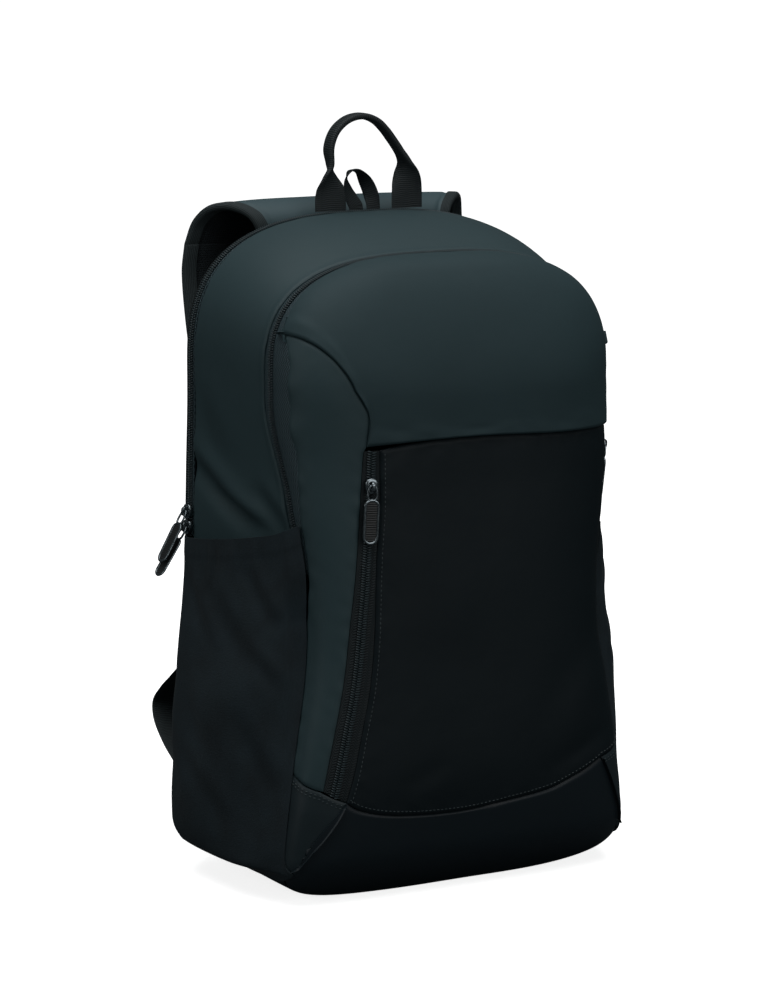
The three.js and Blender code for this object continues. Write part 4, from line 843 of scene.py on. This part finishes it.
def spacer_mesh(name, colour, hole):
    """Knitted spacer mesh: small hexagonal holes, lower than the yarn between them and darkened as painted
    shade, and no gloss. Real holes are 1.2 mm apart; they are drawn a little coarser to show."""
    material = bpy.data.materials.new(name)
    material.use_nodes = True
    tree = material.node_tree
    tree.nodes.clear()
    place = add_node(tree, "ShaderNodeUVMap", {"uv_map": "cloth_mm"})
    cells = add_node(tree, "ShaderNodeTexVoronoi",
                     {"Scale": 1 / hole, "Randomness": 0.15, "voronoi_dimensions": "2D"},
                     {"Vector": place.outputs[0]})
    depth = add_node(tree, "ShaderNodeMapRange", {"From Min": 0.12, "From Max": 0.42},
                     {"Value": cells.outputs["Distance"]})
    # Painted shade: the holes' colour falls to 0.3 of the yarn's.
    dark = tuple(c * 0.3 for c in linear(colour)[:3]) + (1.0,)
    tone = add_node(tree, "ShaderNodeMix", {"data_type": "RGBA", 6: dark, 7: linear(colour)},
                    {0: depth.outputs[0]})
    bump = add_node(tree, "ShaderNodeBump", {"Strength": 0.7, "Distance": 0.0006}, {"Height": depth.outputs[0]})
    finish = add_node(tree, "ShaderNodeBsdfPrincipled",
                      {"Roughness": 0.85, "IOR": 1.5, "Specular IOR Level": 0.2},
                      {"Base Color": tone.outputs[2], "Normal": bump.outputs[0]})
    add_node(tree, "ShaderNodeOutputMaterial", links={"Surface": finish.outputs[0]})
    return material


mesh_cloth = spacer_mesh("knitted_polyester_spacer_mesh", "#161d20", 1.8)


def back_edge(station):
    edge = rim(station, 0.0)
    inset = 1 - 2 * 0.6 / (2 * BACK_HALF)
    z = middle(edge[..., 2]) + (edge[..., 2] - middle(edge[..., 2])) * inset
    return np.stack([edge[..., 0] * inset, z], -1)


s, t = crowd(130, 0.5), crowd(90, 0.5)
a, b = s[:, None, None], t[None, :, None]
sides = back_edge(1 + 2.6 * s)[:, None] * (1 - b) + back_edge(7 - 2.6 * s)[:, None] * b
low_edge = back_edge(np.where(t < 0.5, 1 - 2 * t, 9 - 2 * t))
ends = low_edge[None] * (1 - a) + back_edge(3.6 + 0.8 * t)[None] * a
corner = [back_edge(np.array(k)) for k in (1.0, 7.0, 3.6, 4.4)]
flat = sides + ends - ((corner[0] * (1 - b) + corner[1] * b) * (1 - a)
                       + (corner[2] * (1 - b) + corner[3] * b) * a)
bx, bz = flat[..., 0], flat[..., 1]
across = np.abs(bx) / (level(bz, 1) * BACK_HALF)
up = np.where(bz > ARCH_FOOT, (bz - ARCH_FOOT) / TOP_ARCH, np.clip((BASE_ROUND - bz) / BASE_ROUND, 0, None))
power = np.where(bz > ARCH_FOOT, TOP_POWER, BACK_BASE_POWER)
g = np.minimum(1, (across ** power + up ** power) ** (1 / power))
channel = 3.2 * np.exp(-(bx / 9) ** 2) + 2.0 * np.exp(-((np.abs(bx) - 92) / 5) ** 2) * (bz < 380)
channel += 2.2 * np.exp(-((bz - 150) / 5) ** 2) + 2.2 * np.exp(-((bz - 285) / 5) ** 2)
thick = BACK_EDGE + BACK_PAD * (1 - g ** 5) - channel * np.clip(1.4 - 1.4 * g ** 3, 0, 1)
back_outer = np.stack([bx, BACK_Y + thick, bz], -1)
back_panel = closed_sheet("back_panel_mesh", back_outer, np.stack([bx, BACK_Y + 0 * bx, bz], -1))
dress(back_panel, mesh_cloth, "back_panel", slot="spacer_mesh")


# The side pockets: open pouches of stretch knit outside the gusset, gathered into an elastic hem at the
# mouth. They hang a little full, with soft slanting folds, and small puckers where the elastic pulls them in.
knit = bpy.data.materials.new("stretch_polyester_knit")
knit.use_nodes = True
tree = knit.node_tree
tree.nodes.clear()
place = add_node(tree, "ShaderNodeUVMap", {"uv_map": "cloth_mm"})
squeezed = add_node(tree, "ShaderNodeMapping", {"Scale": (0.55, 1.5, 1.0)}, {"Vector": place.outputs[0]})
grain = add_node(tree, "ShaderNodeTexNoise", {"Scale": 0.5, "Detail": 4.0, "Roughness": 0.7},
                 {"Vector": squeezed.outputs[0]})
wide = add_node(tree, "ShaderNodeTexNoise", {"Scale": 0.03, "Detail": 2.0}, {"Vector": place.outputs[0]})
sum_up = add_node(tree, "ShaderNodeMath", {"operation": "MULTIPLY_ADD", 1: 0.5},
                  {0: grain.outputs[0], 2: wide.outputs[0]})
share_up = add_node(tree, "ShaderNodeMapRange", {"From Min": 0.4, "From Max": 1.1},
                    {"Value": sum_up.outputs[0]})
tone = add_node(tree, "ShaderNodeMix", {"data_type": "RGBA", 6: linear("#10191d"), 7: linear("#1b282e")},
                {0: share_up.outputs[0]})
bump = add_node(tree, "ShaderNodeBump", {"Strength": 0.5, "Distance": 0.0005}, {"Height": grain.outputs[0]})
finish = add_node(tree, "ShaderNodeBsdfPrincipled",
                  {"Roughness": 0.72, "IOR": 1.5, "Specular IOR Level": 0.25, "Sheen Weight": 0.03,
                   "Sheen Roughness": 0.5},
                  {"Base Color": tone.outputs[2], "Normal": bump.outputs[0]})
add_node(tree, "ShaderNodeOutputMaterial", links={"Surface": finish.outputs[0]})

POCKET_HEIGHT, LIP_RISE_LEFT, LIP_RISE_RIGHT, POCKET_SWELL, POCKET_THICK = 244.0, 26.4, 9.0, 22.0, 1.3
SWELL_ALONG = np.array([
    # along from the back seam to the front edge, swell near the foot, swell near the lip
    (0.0, 0.0, 0.0), (0.08, 0.75, 0.62), (0.25, 0.8, 0.74), (0.5, 0.64, 0.86), (0.78, 0.34, 0.9),
    (0.92, 0.2, 0.6), (1.0, 0.0, 0.0),
])
SWELL_UP = np.array([(0.0, 0.0), (0.08, 0.05), (0.14, 0.16), (0.28, 0.75), (0.65, 1.0), (1.0, 0.52)])
SIDE_FOLDS = [
    # y and z of a fold's two ends on the pocket, its width and depth
    (66, 226, 22, 168, 6, 1.6), (30, 214, -22, 160, 9, 2.0), (64, 150, 20, 96, 11, 1.8),
    (-6, 236, -40, 196, 7, 1.8), (-10, 130, -46, 80, 9, 1.8), (46, 92, -8, 50, 8, 1.5),
    (-20, 176, -48, 150, 6, 1.2), (70, 96, 52, 60, 7, 1.2),
]
HEM_DEPTH = 15.0
for side, word in ((-1, "left"), (1, "right")):
    s, t = crowd(120)[:, None], crowd(100)[None, :]
    lip_z = POCKET_HEIGHT + (LIP_RISE_LEFT if side < 0 else LIP_RISE_RIGHT) * t ** 1.4
    lip_station = 2 + (lip_z - BASE_ROUND) / (ARCH_FOOT - BASE_ROUND)
    foot = base_seam(t) + 0.05
    station = foot + (lip_station - foot) * s
    reach = np.hypot(pocket_reach(station), 0.07 if side < 0 else 0.1)
    deep = 0.02 + (0.98 + reach) * t
    on_skin = skin(station if side < 0 else 8 - station, deep)
    n = normals(on_skin)
    high = np.clip((s - 0.35) / 0.4, 0, 1)
    high = high * high * (3 - 2 * high)
    swell_low, swell_high = (smooth_through(t, SWELL_ALONG[:, 0], SWELL_ALONG[:, k]) for k in (1, 2))
    fullness = POCKET_SWELL * smooth_through(s, SWELL_UP[:, 0], SWELL_UP[:, 1])
    swell = fullness * (swell_low * (1 - high) + swell_high * high)
    below_lip = lip_z - on_skin[..., 2]
    if side > 0:
        swell = swell * (1 - 0.85 * np.clip((s - 0.9) / 0.1, 0, 1) ** 2 * np.clip((t - 0.55) / 0.35, 0, 1))
    band = 0.35 * np.clip((HEM_DEPTH - below_lip) / 4, 0, 1)
    puckers = sum(np.exp(-((t - c) / 0.011) ** 2) - 0.4 * np.exp(-((t - c - 0.035) / 0.03) ** 2)
                  for c in (0.316, 0.494, 0.65))
    rows_of = np.exp(-((below_lip - 14) / 12) ** 2)
    fine = np.sin(t * 150 + 3 * np.sin(t * 23)) * 0.1 * rows_of
    run_in = np.clip(from_edge(on_skin) / 12, 0, 1)
    folds = creases(on_skin[..., 1], on_skin[..., 2], SIDE_FOLDS) + 1.1 * ripple(on_skin, 60, 51 + side)
    pouch_outer = on_skin + n * (0.4 + POCKET_THICK + swell)[..., None]
    for _ in range(10):
        pouch_outer[:, 1:-1] = (pouch_outer[:, :-2] + 2 * pouch_outer[:, 1:-1] + pouch_outer[:, 2:]) / 4
    n = normals(pouch_outer)
    detail = band + 1.5 * puckers * rows_of + fine + folds * run_in * np.clip(below_lip / 25, 0, 1)
    pouch_outer = pouch_outer + n * detail[..., None]
    pouch = closed_sheet(f"side_pocket_knit_{word}", pouch_outer,
                         pouch_outer - n * (POCKET_THICK + band)[..., None])
    dress(pouch, knit, f"side_pocket_{word}", slot="stretch_knit")
    down, over = lengths(pouch_outer)


# The straps' yoke and the two shoulder straps: foam between spacer mesh and coated cloth, bound with ribbed
# tape along both edges. They hang from the yoke, which is sewn in behind the handle, and taper to their
# buckles.
STAND = 57.0
STRAP_PAD, STRAP_EDGE = 9.0, 4.0
YOKE = np.array([
    # up, stand, outer
    (0.93, 0.24, 0.5), (0.962, 0.245, 0.51), (0.994, 0.31, 0.55), (1.009, 0.5, 0.63), (1.005, 0.72, 0.695),
    (0.983, 0.91, 0.74), (0.949, 1.0, 0.767),
])
STRAP = np.array([
    # up, stand, outer, inner
    (0.9488, 1.0, 0.7672, 0.19), (0.905, 1.0, 0.782, 0.33), (0.84, 0.9, 0.785, 0.36), (0.72, 0.68, 0.78, 0.36),
    (0.6, 0.56, 0.775, 0.37), (0.47, 0.53, 0.785, 0.42), (0.39, 0.53, 0.82, 0.56), (0.355, 0.53, 0.865, 0.685),
])


def side_path(table, s):
    """The strap's middle line in the side view at shares of its rows, and the face's normal, a quarter turn
    from the line's direction."""
    rows = np.stack([0 * table[:, 0], BACK_Y + table[:, 1] * STAND, table[:, 0] * HEIGHT], -1)
    at = s * (len(rows) - 1)
    p = spline(rows, at)
    way = spline(rows, np.minimum(at + 0.01, len(rows) - 1)) - spline(rows, np.maximum(at - 0.01, 0))
    way /= np.linalg.norm(way, axis=1, keepdims=True)
    return p, np.stack([0 * s, -way[:, 2], way[:, 1]], -1)


def stepped(table, column, s):
    return smooth_through(s * (len(table) - 1), np.arange(len(table)), table[:, column]) * BACK_HALF


def strap_pad(name, table, left, right, rows, cols):
    """A padded strap between two edges: its thickness is edge + (pad - edge) * (1 - |2 t - 1| ^ 4), drawn in
    at a stitched channel beside each bound edge and rounded off at the edge itself."""
    s, t = crowd(rows, 0.5), crowd(cols, 0.9)
    p, face = side_path(table, s)
    x = left(s)[:, None] + (right(s) - left(s))[:, None] * t[None, :]
    wide = np.abs(right(s) - left(s))[:, None]
    edge = np.minimum(t, 1 - t)[None, :] * wide
    full = STRAP_EDGE + (STRAP_PAD - STRAP_EDGE) * (1 - np.abs(2 * t - 1)[None, :] ** 4)
    full = full - 1.6 * np.exp(-((edge - 11) / 1.6) ** 2)
    full = full * np.sqrt(np.clip(1 - np.clip(1 - edge / 2.2, 0, 1) ** 2, 0.08, 1))
    ends = np.minimum(s, 1 - s)[:, None] * 300
    full = full * np.sqrt(np.clip(1 - np.clip(1 - ends / 1.5, 0, 1) ** 2, 0.8, 1))
    middle_of = p[:, None] + np.stack([x, 0 * x, 0 * x], -1)
    soft = 0.35 * ripple(middle_of, 60, 61)
    upper = middle_of + face[:, None] * (full / 2 + soft)[..., None]
    lower = middle_of - face[:, None] * (full / 2 - soft)[..., None]
    piece = closed_sheet(name, upper, lower)
    faces = (len(s) - 1) * (len(t) - 1)
    piece.data.materials.append(strap_cloth)
    piece.data.materials.append(mesh_cloth)
    piece.data.polygons.foreach_set("material_index",
                                    (np.arange(len(piece.data.polygons)) >= faces).astype(np.int32))
    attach(piece, "bag")
    return piece, upper, lower


def binding(name, upper, lower, wide=9.0):
    """Ribbed tape folded over the edge of a strap at its grid's first column: it follows the pad's two faces
    as far in as its width and stands 0.5 mm off them."""
    t = crowd(upper.shape[1] - 1, 0.9)
    full = np.linalg.norm(upper[:, 0] - upper[:, -1], axis=-1)[:, None]
    share = np.linspace(0, 1, 13)[None, :] ** 1.6 * wide / full
    i = np.clip(np.searchsorted(t, share) - 1, 0, len(t) - 2)
    part = ((share - t[i]) / (t[i + 1] - t[i]))[..., None]
    i = i[..., None]
    top, low = (np.take_along_axis(g, i, 1) * (1 - part) + np.take_along_axis(g, i + 1, 1) * part
                for g in (upper, lower))
    line = np.concatenate([top[:, ::-1], low], axis=1)
    n = np.cross(np.gradient(line, axis=0), np.gradient(line, axis=1))
    n /= np.linalg.norm(n, axis=-1, keepdims=True)
    n *= np.sign(np.sum(n[:, :1] * (top[:, -1:] - low[:, -1:]), -1, keepdims=True))
    piece = closed_sheet(name, line + 0.55 * n, line - 0.05 * n)
    return dress(piece, binding_tape, slot="webbing")


# The lighter colour is painted light on the ribs, the darker painted shade between them.
binding_tape = woven_tape("grosgrain_binding_tape", "#2c3638", "#161d1f", 0.72, 1.3, 0.0)
strap_cloth = coated_cloth("coated_polyester_strap_face", "#34474c", 0.62)
yoke, yoke_upper, yoke_lower = strap_pad("strap_yoke_pad", YOKE, lambda s: -stepped(YOKE, 2, s),
                                         lambda s: stepped(YOKE, 2, s), 70, 90)
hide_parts("strap_yoke")
binding("yoke_binding_left", yoke_upper, yoke_lower)
binding("yoke_binding_right", yoke_upper[:, ::-1], yoke_lower[:, ::-1])
for side, word in ((-1, "left"), (1, "right")):
    pad, pad_upper, pad_lower = strap_pad(f"shoulder_strap_pad_{word}", STRAP,
                                          lambda s: side * stepped(STRAP, 3, s),
                                          lambda s: side * stepped(STRAP, 2, s), 170, 44)
    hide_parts(f"shoulder_strap_{word}")
    binding(f"strap_binding_inner_{word}", pad_upper, pad_lower)
    binding(f"strap_binding_outer_{word}", pad_upper[:, ::-1], pad_lower[:, ::-1])


# The lower webbing: flat polyester webbing 25 mm wide, which runs from each strap's buckle down to a tab in
# the corner, bowed out behind the bag.
WEB = np.array([
    # up, stand, across
    (0.348, 0.454, 0.775), (0.335, 0.526, 0.777), (0.319, 0.64, 0.78), (0.298, 0.69, 0.79), (0.277, 0.84, 0.81),
    (0.251, 1.08, 0.83), (0.2255, 1.237, 0.845), (0.2, 1.16, 0.855), (0.17, 0.84, 0.862), (0.149, 0.474, 0.868),
    (0.134, 0.245, 0.87),
])
# The lighter colour is painted light on the ridges, the darker painted shade between them.
webbing = woven_tape("polyester_webbing", "#2d3739", "#151b1d", 0.66, 1.5, 0.25)


def swept(name, p, across, face, half_wide, half_thick, sides=28):
    """A closed bar with rounded edges along a line: its section is a superellipse of power 6 across and 2.6
    over, and each end is closed flat."""
    turn = np.linspace(0, 2 * np.pi, sides, endpoint=False)
    c, s = np.cos(turn), np.sin(turn)
    c, s = np.sign(c) * np.abs(c) ** (2 / 5), np.sign(s) * np.abs(s) ** (2 / 2.4)
    sideways = across[:, None] * (half_wide[:, None] * c)[..., None]
    upward = face[:, None] * (half_thick[:, None] * s)[..., None]
    ring = p[:, None] + sideways + upward
    count = len(p)
    corners = np.concatenate([ring.reshape(-1, 3), p[:1], p[-1:]])
    at = np.arange(count * sides).reshape(count, sides)
    after = np.roll(at, -1, axis=1)
    walls = np.stack([at[:-1], after[:-1], after[1:], at[1:]], -1).reshape(-1, 4).tolist()
    caps = [[count * sides, int(b), int(a)] for a, b in zip(at[0], after[0])]
    caps += [[count * sides + 1, int(a), int(b)] for a, b in zip(at[-1], after[-1])]
    faces = walls + caps
    quads = np.array(walls)
    a, b, c4, d4 = (corners[quads[:, i]] for i in range(4))
    if np.sum(a * np.cross(b, c4)) + np.sum(a * np.cross(c4, d4)) < 0:
        faces = [face[::-1] for face in faces]
    run = np.concatenate([[0], np.cumsum(np.linalg.norm(np.diff(p, axis=0), axis=1))])
    along = np.broadcast_to(run[:, None], (count, sides))
    uv = np.stack([along, half_wide[:, None] * np.cos(turn)], -1).reshape(-1, 2)
    return mesh_object(name, corners, faces, np.concatenate([uv, uv[:1], uv[-1:]]))


for side, word in ((-1, "left"), (1, "right")):
    s = np.linspace(0, 1, 141)
    p, face = side_path(WEB, s)
    p[:, 0] = side * stepped(WEB, 2, s)
    x_way = np.broadcast_to((1.0, 0.0, 0.0), p.shape)
    web = swept(f"lower_webbing_{word}", p, x_way, face, 0 * s + 12.5, 0 * s + 0.9)
    dress(web, webbing, f"strap_web_{word}", slot="webbing")


# The buckles: plain moulded plastic frames with one slot, sewn to the straps' ends, through which the lower
# webbing runs.
plastic = moulded("moulded_acetal_plastic", "#14181a", 0.42, 300.0)


def ring_bar(name, path, normal, half_wide, half_thick, power=3.0, sides=16):
    """A closed frame: a superellipse section carried round a closed flat path, square to it."""
    way = np.roll(path, -1, axis=0) - np.roll(path, 1, axis=0)
    way /= np.linalg.norm(way, axis=1, keepdims=True)
    out = np.cross(way, normal)
    turn = np.linspace(0, 2 * np.pi, sides, endpoint=False)
    c, s = (np.sign(v) * np.abs(v) ** (2 / power) for v in (np.cos(turn), np.sin(turn)))
    sideways = out[:, None] * (c * half_wide)[None, :, None]
    upward = np.asarray(normal)[None, None] * (s * half_thick)[None, :, None]
    ring = path[:, None] + sideways + upward
    at = np.arange(len(path) * sides).reshape(len(path), sides)
    next_ring, after = np.roll(at, -1, axis=0), np.roll(at, -1, axis=1)
    quads = np.stack([at, next_ring, np.roll(next_ring, -1, axis=1), after], -1).reshape(-1, 4)
    corners = ring.reshape(-1, 3)
    a, b, c4, d4 = (corners[quads[:, i]] for i in range(4))
    if np.sum(a * np.cross(b, c4)) + np.sum(a * np.cross(c4, d4)) < 0:
        quads = quads[:, ::-1]
    return mesh_object(name, corners, quads)


def rounded_frame(half_long, half_wide, power, count=96):
    turn = np.linspace(0, 2 * np.pi, count, endpoint=False)
    c, s = (np.sign(v) * np.abs(v) ** (2 / power) for v in (np.cos(turn), np.sin(turn)))
    return c * half_long, s * half_wide


for side, word in ((-1, "left"), (1, "right")):
    low, high = (np.array(corner) * 1000 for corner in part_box(f"strap_buckle_{word}"))
    centre, size = (low + high) / 2, high - low
    a, b = rounded_frame(size[0] / 2 - 2.0, size[2] / 2 - 2.0, 7.0)
    path = centre + np.stack([a, 0 * a, b], -1)
    buckle = ring_bar(f"strap_buckle_frame_{word}", path, (0.0, 1.0, 0.0), 2.0, size[1] / 2)
    dress(buckle, plastic, f"strap_buckle_{word}", slot="black_plastic")


# The anchor tabs: folded pieces of coated cloth sewn into the lower corners of the back seam, which carry the
# webbing's ends.
for side, word in ((-1, "left"), (1, "right")):
    s, t = crowd(40)[:, None], crowd(40)[None, :]
    z = 0.085 * HEIGHT + 0.08 * HEIGHT * s + 0 * t
    half = level(z, 1) * BACK_HALF - 1
    tab_x = side * (half - (half - WEB[-1, 2] * BACK_HALF) * t * 0.9)
    tab_y = BACK_Y + BACK_EDGE + 0.4 + (WEB[-1, 1] * STAND - BACK_EDGE - 1.4) * t ** 1.3 + 0 * s
    tab_z = WEB[-1, 0] * HEIGHT + (z - WEB[-1, 0] * HEIGHT) * (1 - 0.45 * t)
    tab_lower = np.stack([tab_x, tab_y, tab_z], -1)
    tab = closed_sheet(f"anchor_tab_{word}", tab_lower + (0, 1.6, 0), tab_lower)
    dress(tab, shell_cloth, f"anchor_{word}")


# The grab handle: 25 mm webbing whose legs face the front and whose middle is folded in two along its length
# and stands up in an arch. Behind it a narrow ribbon loop for hanging the bag up comes out of the same seam.
HANDLE = np.array([
    # across, up, turn, fold
    (-0.456, 0.0, 0.0, 0.0), (-0.456, 0.11, 0.0, 0.0), (-0.457, 0.22, 0.05, 0.1), (-0.463, 0.35, 0.35, 0.6),
    (-0.46, 0.48, 0.85, 1.0), (-0.475, 0.65, 1.0, 1.0), (-0.4, 0.82, 1.0, 1.0), (-0.24, 0.935, 1.0, 1.0),
    (-0.05, 0.965, 1.0, 1.0), (0.12, 0.915, 1.0, 1.0), (0.24, 0.82, 1.0, 1.0), (0.33, 0.72, 1.0, 1.0),
    (0.42, 0.61, 1.0, 1.0), (0.5, 0.49, 0.85, 0.9), (0.53, 0.36, 0.35, 0.5), (0.537, 0.22, 0.05, 0.1),
    (0.537, 0.11, 0.0, 0.0), (0.537, 0.0, 0.0, 0.0),
])
LOOP = np.array([
    # across, up, turn, fold
    (-0.15, 0.0, 0.0, 0.0), (-0.15, 0.07, 0.0, 0.0), (-0.24, 0.22, 0.1, 0.0), (-0.34, 0.42, 0.3, 0.0),
    (-0.39, 0.68, 0.6, 0.0), (-0.28, 0.87, 0.9, 0.0), (-0.09, 0.85, 0.9, 0.0), (0.1, 0.6, 0.5, 0.0),
    (0.24, 0.28, 0.2, 0.0), (0.28, 0.07, 0.0, 0.0), (0.28, 0.0, 0.0, 0.0),
])


def standing_loop(name, table, span, rise, foot, wide, thick, material, node):
    """A ribbon loop: its width turns from facing the front to facing up as the table's turn goes from 0 to 1,
    and it narrows and thickens where it is folded."""
    rows = np.stack([table[:, 0] * span, foot[0] + 0 * table[:, 0], foot[1] + table[:, 1] * rise], -1)
    at = np.linspace(0, len(rows) - 1, 260)
    p = spline(rows, at)
    way = np.gradient(p, axis=0)
    way /= np.linalg.norm(way, axis=1, keepdims=True)
    sideways = np.cross((0.0, 1.0, 0.0), way)
    sideways /= np.linalg.norm(sideways, axis=1, keepdims=True)
    turn = smooth_through(at, np.arange(len(rows)), table[:, 2])[:, None] * np.pi / 2
    fold = smooth_through(at, np.arange(len(rows)), table[:, 3])
    across = sideways * np.cos(turn) + np.array((0.0, 1.0, 0.0)) * np.sin(turn)
    face = np.cross(way, across)
    piece = swept(name, p, across, face, wide / 2 * (1 - fold / 2), thick / 2 * (1 + fold))
    return dress(piece, material, node, slot="webbing")


top_z = ARCH_FOOT + TOP_ARCH
# The lighter colour is painted light on the ridges, the darker painted shade between them.
handle_webbing = woven_tape("polyester_handle_webbing", "#242c2e", "#101517", 0.62, 1.5, 0.25)
standing_loop("grab_handle_webbing", HANDLE, 63.0, 70.0, (BACK_Y - 4.8, top_z + 1.0), 25.0, 2.4,
              handle_webbing, "grab_handle")
standing_loop("hang_loop_ribbon", LOOP, 33.0, 33.0, (BACK_Y + 1.0, HEIGHT + 0.4), 11.0, 1.2, handle_webbing,
              "hang_loop")


# The sliders and pullers: cast zinc with a dark polished gunmetal plating. Each slider has a bridge over its
# body, and the long racetrack puller hangs in the bridge by its bar, with a ribbed black insert in its
# window.
gunmetal = bpy.data.materials.new("gunmetal_plated_zinc")
gunmetal.use_nodes = True
tree = gunmetal.node_tree
tree.nodes.clear()
where = add_node(tree, "ShaderNodeTexCoord")
noise = add_node(tree, "ShaderNodeTexNoise", {"Scale": 350.0, "Detail": 3.0},
                 {"Vector": where.outputs["Object"]})
gloss = add_node(tree, "ShaderNodeMapRange", {"To Min": 0.16, "To Max": 0.3}, {"Value": noise.outputs[0]})
tone = add_node(tree, "ShaderNodeMix", {"data_type": "RGBA", 6: linear("#6a7276"), 7: linear("#8d969a")},
                {0: noise.outputs[0]})
finish = add_node(tree, "ShaderNodeBsdfPrincipled", {"Metallic": 1.0},
                  {"Base Color": tone.outputs[2], "Roughness": gloss.outputs[0]})
add_node(tree, "ShaderNodeOutputMaterial", links={"Surface": finish.outputs[0]})

rubber = moulded("soft_black_rubber", "#0c0f10", 0.5, 500.0)
PULLER_LENGTH, PULLER_WIDTH, PULLER_THICK, PULLER_TOP = 41.0, 11.5, 1.4, -0.8
BAR_STAND = 3.55
SLIDERS = [
    # name, body, the puller's tilt away from the zip in degrees
    ("pocket", "puller_pocket", 0.0), ("rear_upper", "puller_rear_upper", 30.0),
    ("rear_lower", "puller_rear_lower", 34.5), ("front", "puller_front", 0.0),
]
JOINTS = {joint["name"]: joint for joint in frame["joints"]}


def puller_run(name, bar):
    """The way a puller hangs from its bar at rest: the longest direction of its node in the frame."""
    mesh = frame["nodes"][f"puller_{name}"].data
    corners = np.empty(len(mesh.vertices) * 3)
    mesh.vertices.foreach_get("co", corners)
    corners = corners.reshape(-1, 3) * 1000
    mid = corners.mean(0)
    run = np.linalg.svd(corners - mid, full_matrices=False)[2][0]
    return run * np.sign(run @ (mid - bar))


for name, body, tilt in SLIDERS:
    bar = np.array(JOINTS[f"swing_{name}"]["pos_m"]) * 1000
    across = -np.array(JOINTS[f"swing_{name}"]["axis"])
    across /= np.linalg.norm(across)
    run = puller_run(name, bar)
    run -= across * (run @ across)
    run /= np.linalg.norm(run)
    up_face = np.cross(run, across)
    lean = np.radians(tilt)
    down = run * np.cos(lean) - up_face * np.sin(lean)
    out = run * np.sin(lean) + up_face * np.cos(lean)
    place = bar - BAR_STAND * out
    r, q = np.meshgrid(np.linspace(0, 1, 9), np.linspace(0, 2 * np.pi, 48, endpoint=False), indexing="ij")
    taper = 1 - 0.16 * np.cos(q) - 0.1 * np.cos(2 * q)
    c, k = (np.sign(v) * np.abs(v) ** (2 / 2.8) for v in (np.cos(q), np.sin(q)))
    edge_in = np.array([0.0, 1.0, 1.0, 0.97, 0.86, 0.6, 0.3, 0.1, 0.0])[:, None]
    rise = np.array([0.0, 0.05, 0.55, 0.8, 0.95, 1.0, 1.0, 1.0, 1.0])[:, None] * 2.2
    x, y = 5.4 * c * edge_in, 4.2 * k * taper * edge_in
    pillow = place + down * x[..., None] + across * y[..., None] + out * (rise + 0 * x)[..., None]
    rows, sides = pillow.shape[:2]
    at = np.arange(rows * sides).reshape(rows, sides)
    quads = np.stack([at[:-1], np.roll(at[:-1], -1, 1), np.roll(at[1:], -1, 1), at[1:]], -1).reshape(-1, 4)
    slider = mesh_object(f"slider_body_{name}", pillow.reshape(-1, 3), quads)
    made = slider.data
    work = bmesh.new()
    work.from_mesh(made)
    bmesh.ops.remove_doubles(work, verts=work.verts, dist=1e-6)
    bmesh.ops.recalc_face_normals(work, faces=work.faces)
    work.to_mesh(made)
    work.free()
    dress(slider, gunmetal, f"slider_{name}", slot="gunmetal")
    arc = np.linspace(0, np.pi, 40)
    c, k = (np.sign(v) * np.abs(v) ** (2 / 3.2) for v in (np.cos(arc), np.sin(arc)))
    line = place + down * (-3.2 * c)[:, None] + out * (1.8 + 3.6 * k)[:, None]
    way = np.gradient(line, axis=0)
    way /= np.linalg.norm(way, axis=1, keepdims=True)
    bridge = swept(f"slider_bridge_{name}", line, np.broadcast_to(across, line.shape), np.cross(way, across),
                   0 * arc + 1.3, 0 * arc + 0.5, 16)
    dress(bridge, gunmetal, slot="gunmetal")

    half = PULLER_WIDTH / 2
    start, end = 9.5, PULLER_TOP + PULLER_LENGTH
    turn = np.linspace(-np.pi / 2, np.pi / 2, 24)
    r_mid = half - 0.95
    low_arc = np.stack([end - half + r_mid * np.cos(turn), r_mid * np.sin(turn)], -1)
    high_arc = np.stack([start + half * 0.7 - half * 0.7 * np.cos(turn), -r_mid * np.sin(turn)], -1)
    left = np.stack([np.linspace(end - half, start + half * 0.7, 14)[1:-1], np.full(12, r_mid)], -1)
    right = np.stack([np.linspace(start + half * 0.7, end - half, 14)[1:-1], np.full(12, -r_mid)], -1)
    loop = np.concatenate([low_arc, left, high_arc, right])
    path = bar + run * loop[:, :1] + across * loop[:, 1:]
    rim_piece = ring_bar(f"puller_rim_{name}", path, up_face, 0.95, PULLER_THICK / 2)
    dress(rim_piece, gunmetal, f"puller_{name}", slot="gunmetal", body=body)
    turn = np.linspace(0, 2 * np.pi, 64, endpoint=False)
    a, b = rounded_frame(5.2, 3.7, 2.8, 64)
    head = bar + run * (4.4 + a)[:, None] + across * (b * (0.86 + 0.14 * a / 5.2))[:, None]
    head_ring = ring_bar(f"puller_link_{name}", head, up_face, 0.8, 0.7)
    dress(head_ring, gunmetal, slot="gunmetal", body=body)
    length_at = np.linspace(start + 0.9, end - 1.2, 120)
    near_end = np.minimum(length_at - start, end - length_at)
    wide = (r_mid - 0.5) * np.sqrt(np.clip(1 - np.clip(1 - near_end / (half - 0.5), 0, 1) ** 2, 0.02, 1))
    rib_height = 0.28 + 0.16 * np.clip(np.sin(2 * np.pi * length_at / 1.6), -0.4, 1)
    line = bar + run * length_at[:, None]
    insert = swept(f"puller_insert_{name}", line, np.broadcast_to(across, line.shape),
                   np.broadcast_to(up_face, line.shape), wide, rib_height, 20)
    dress(insert, rubber, slot="black_plastic", body=body)
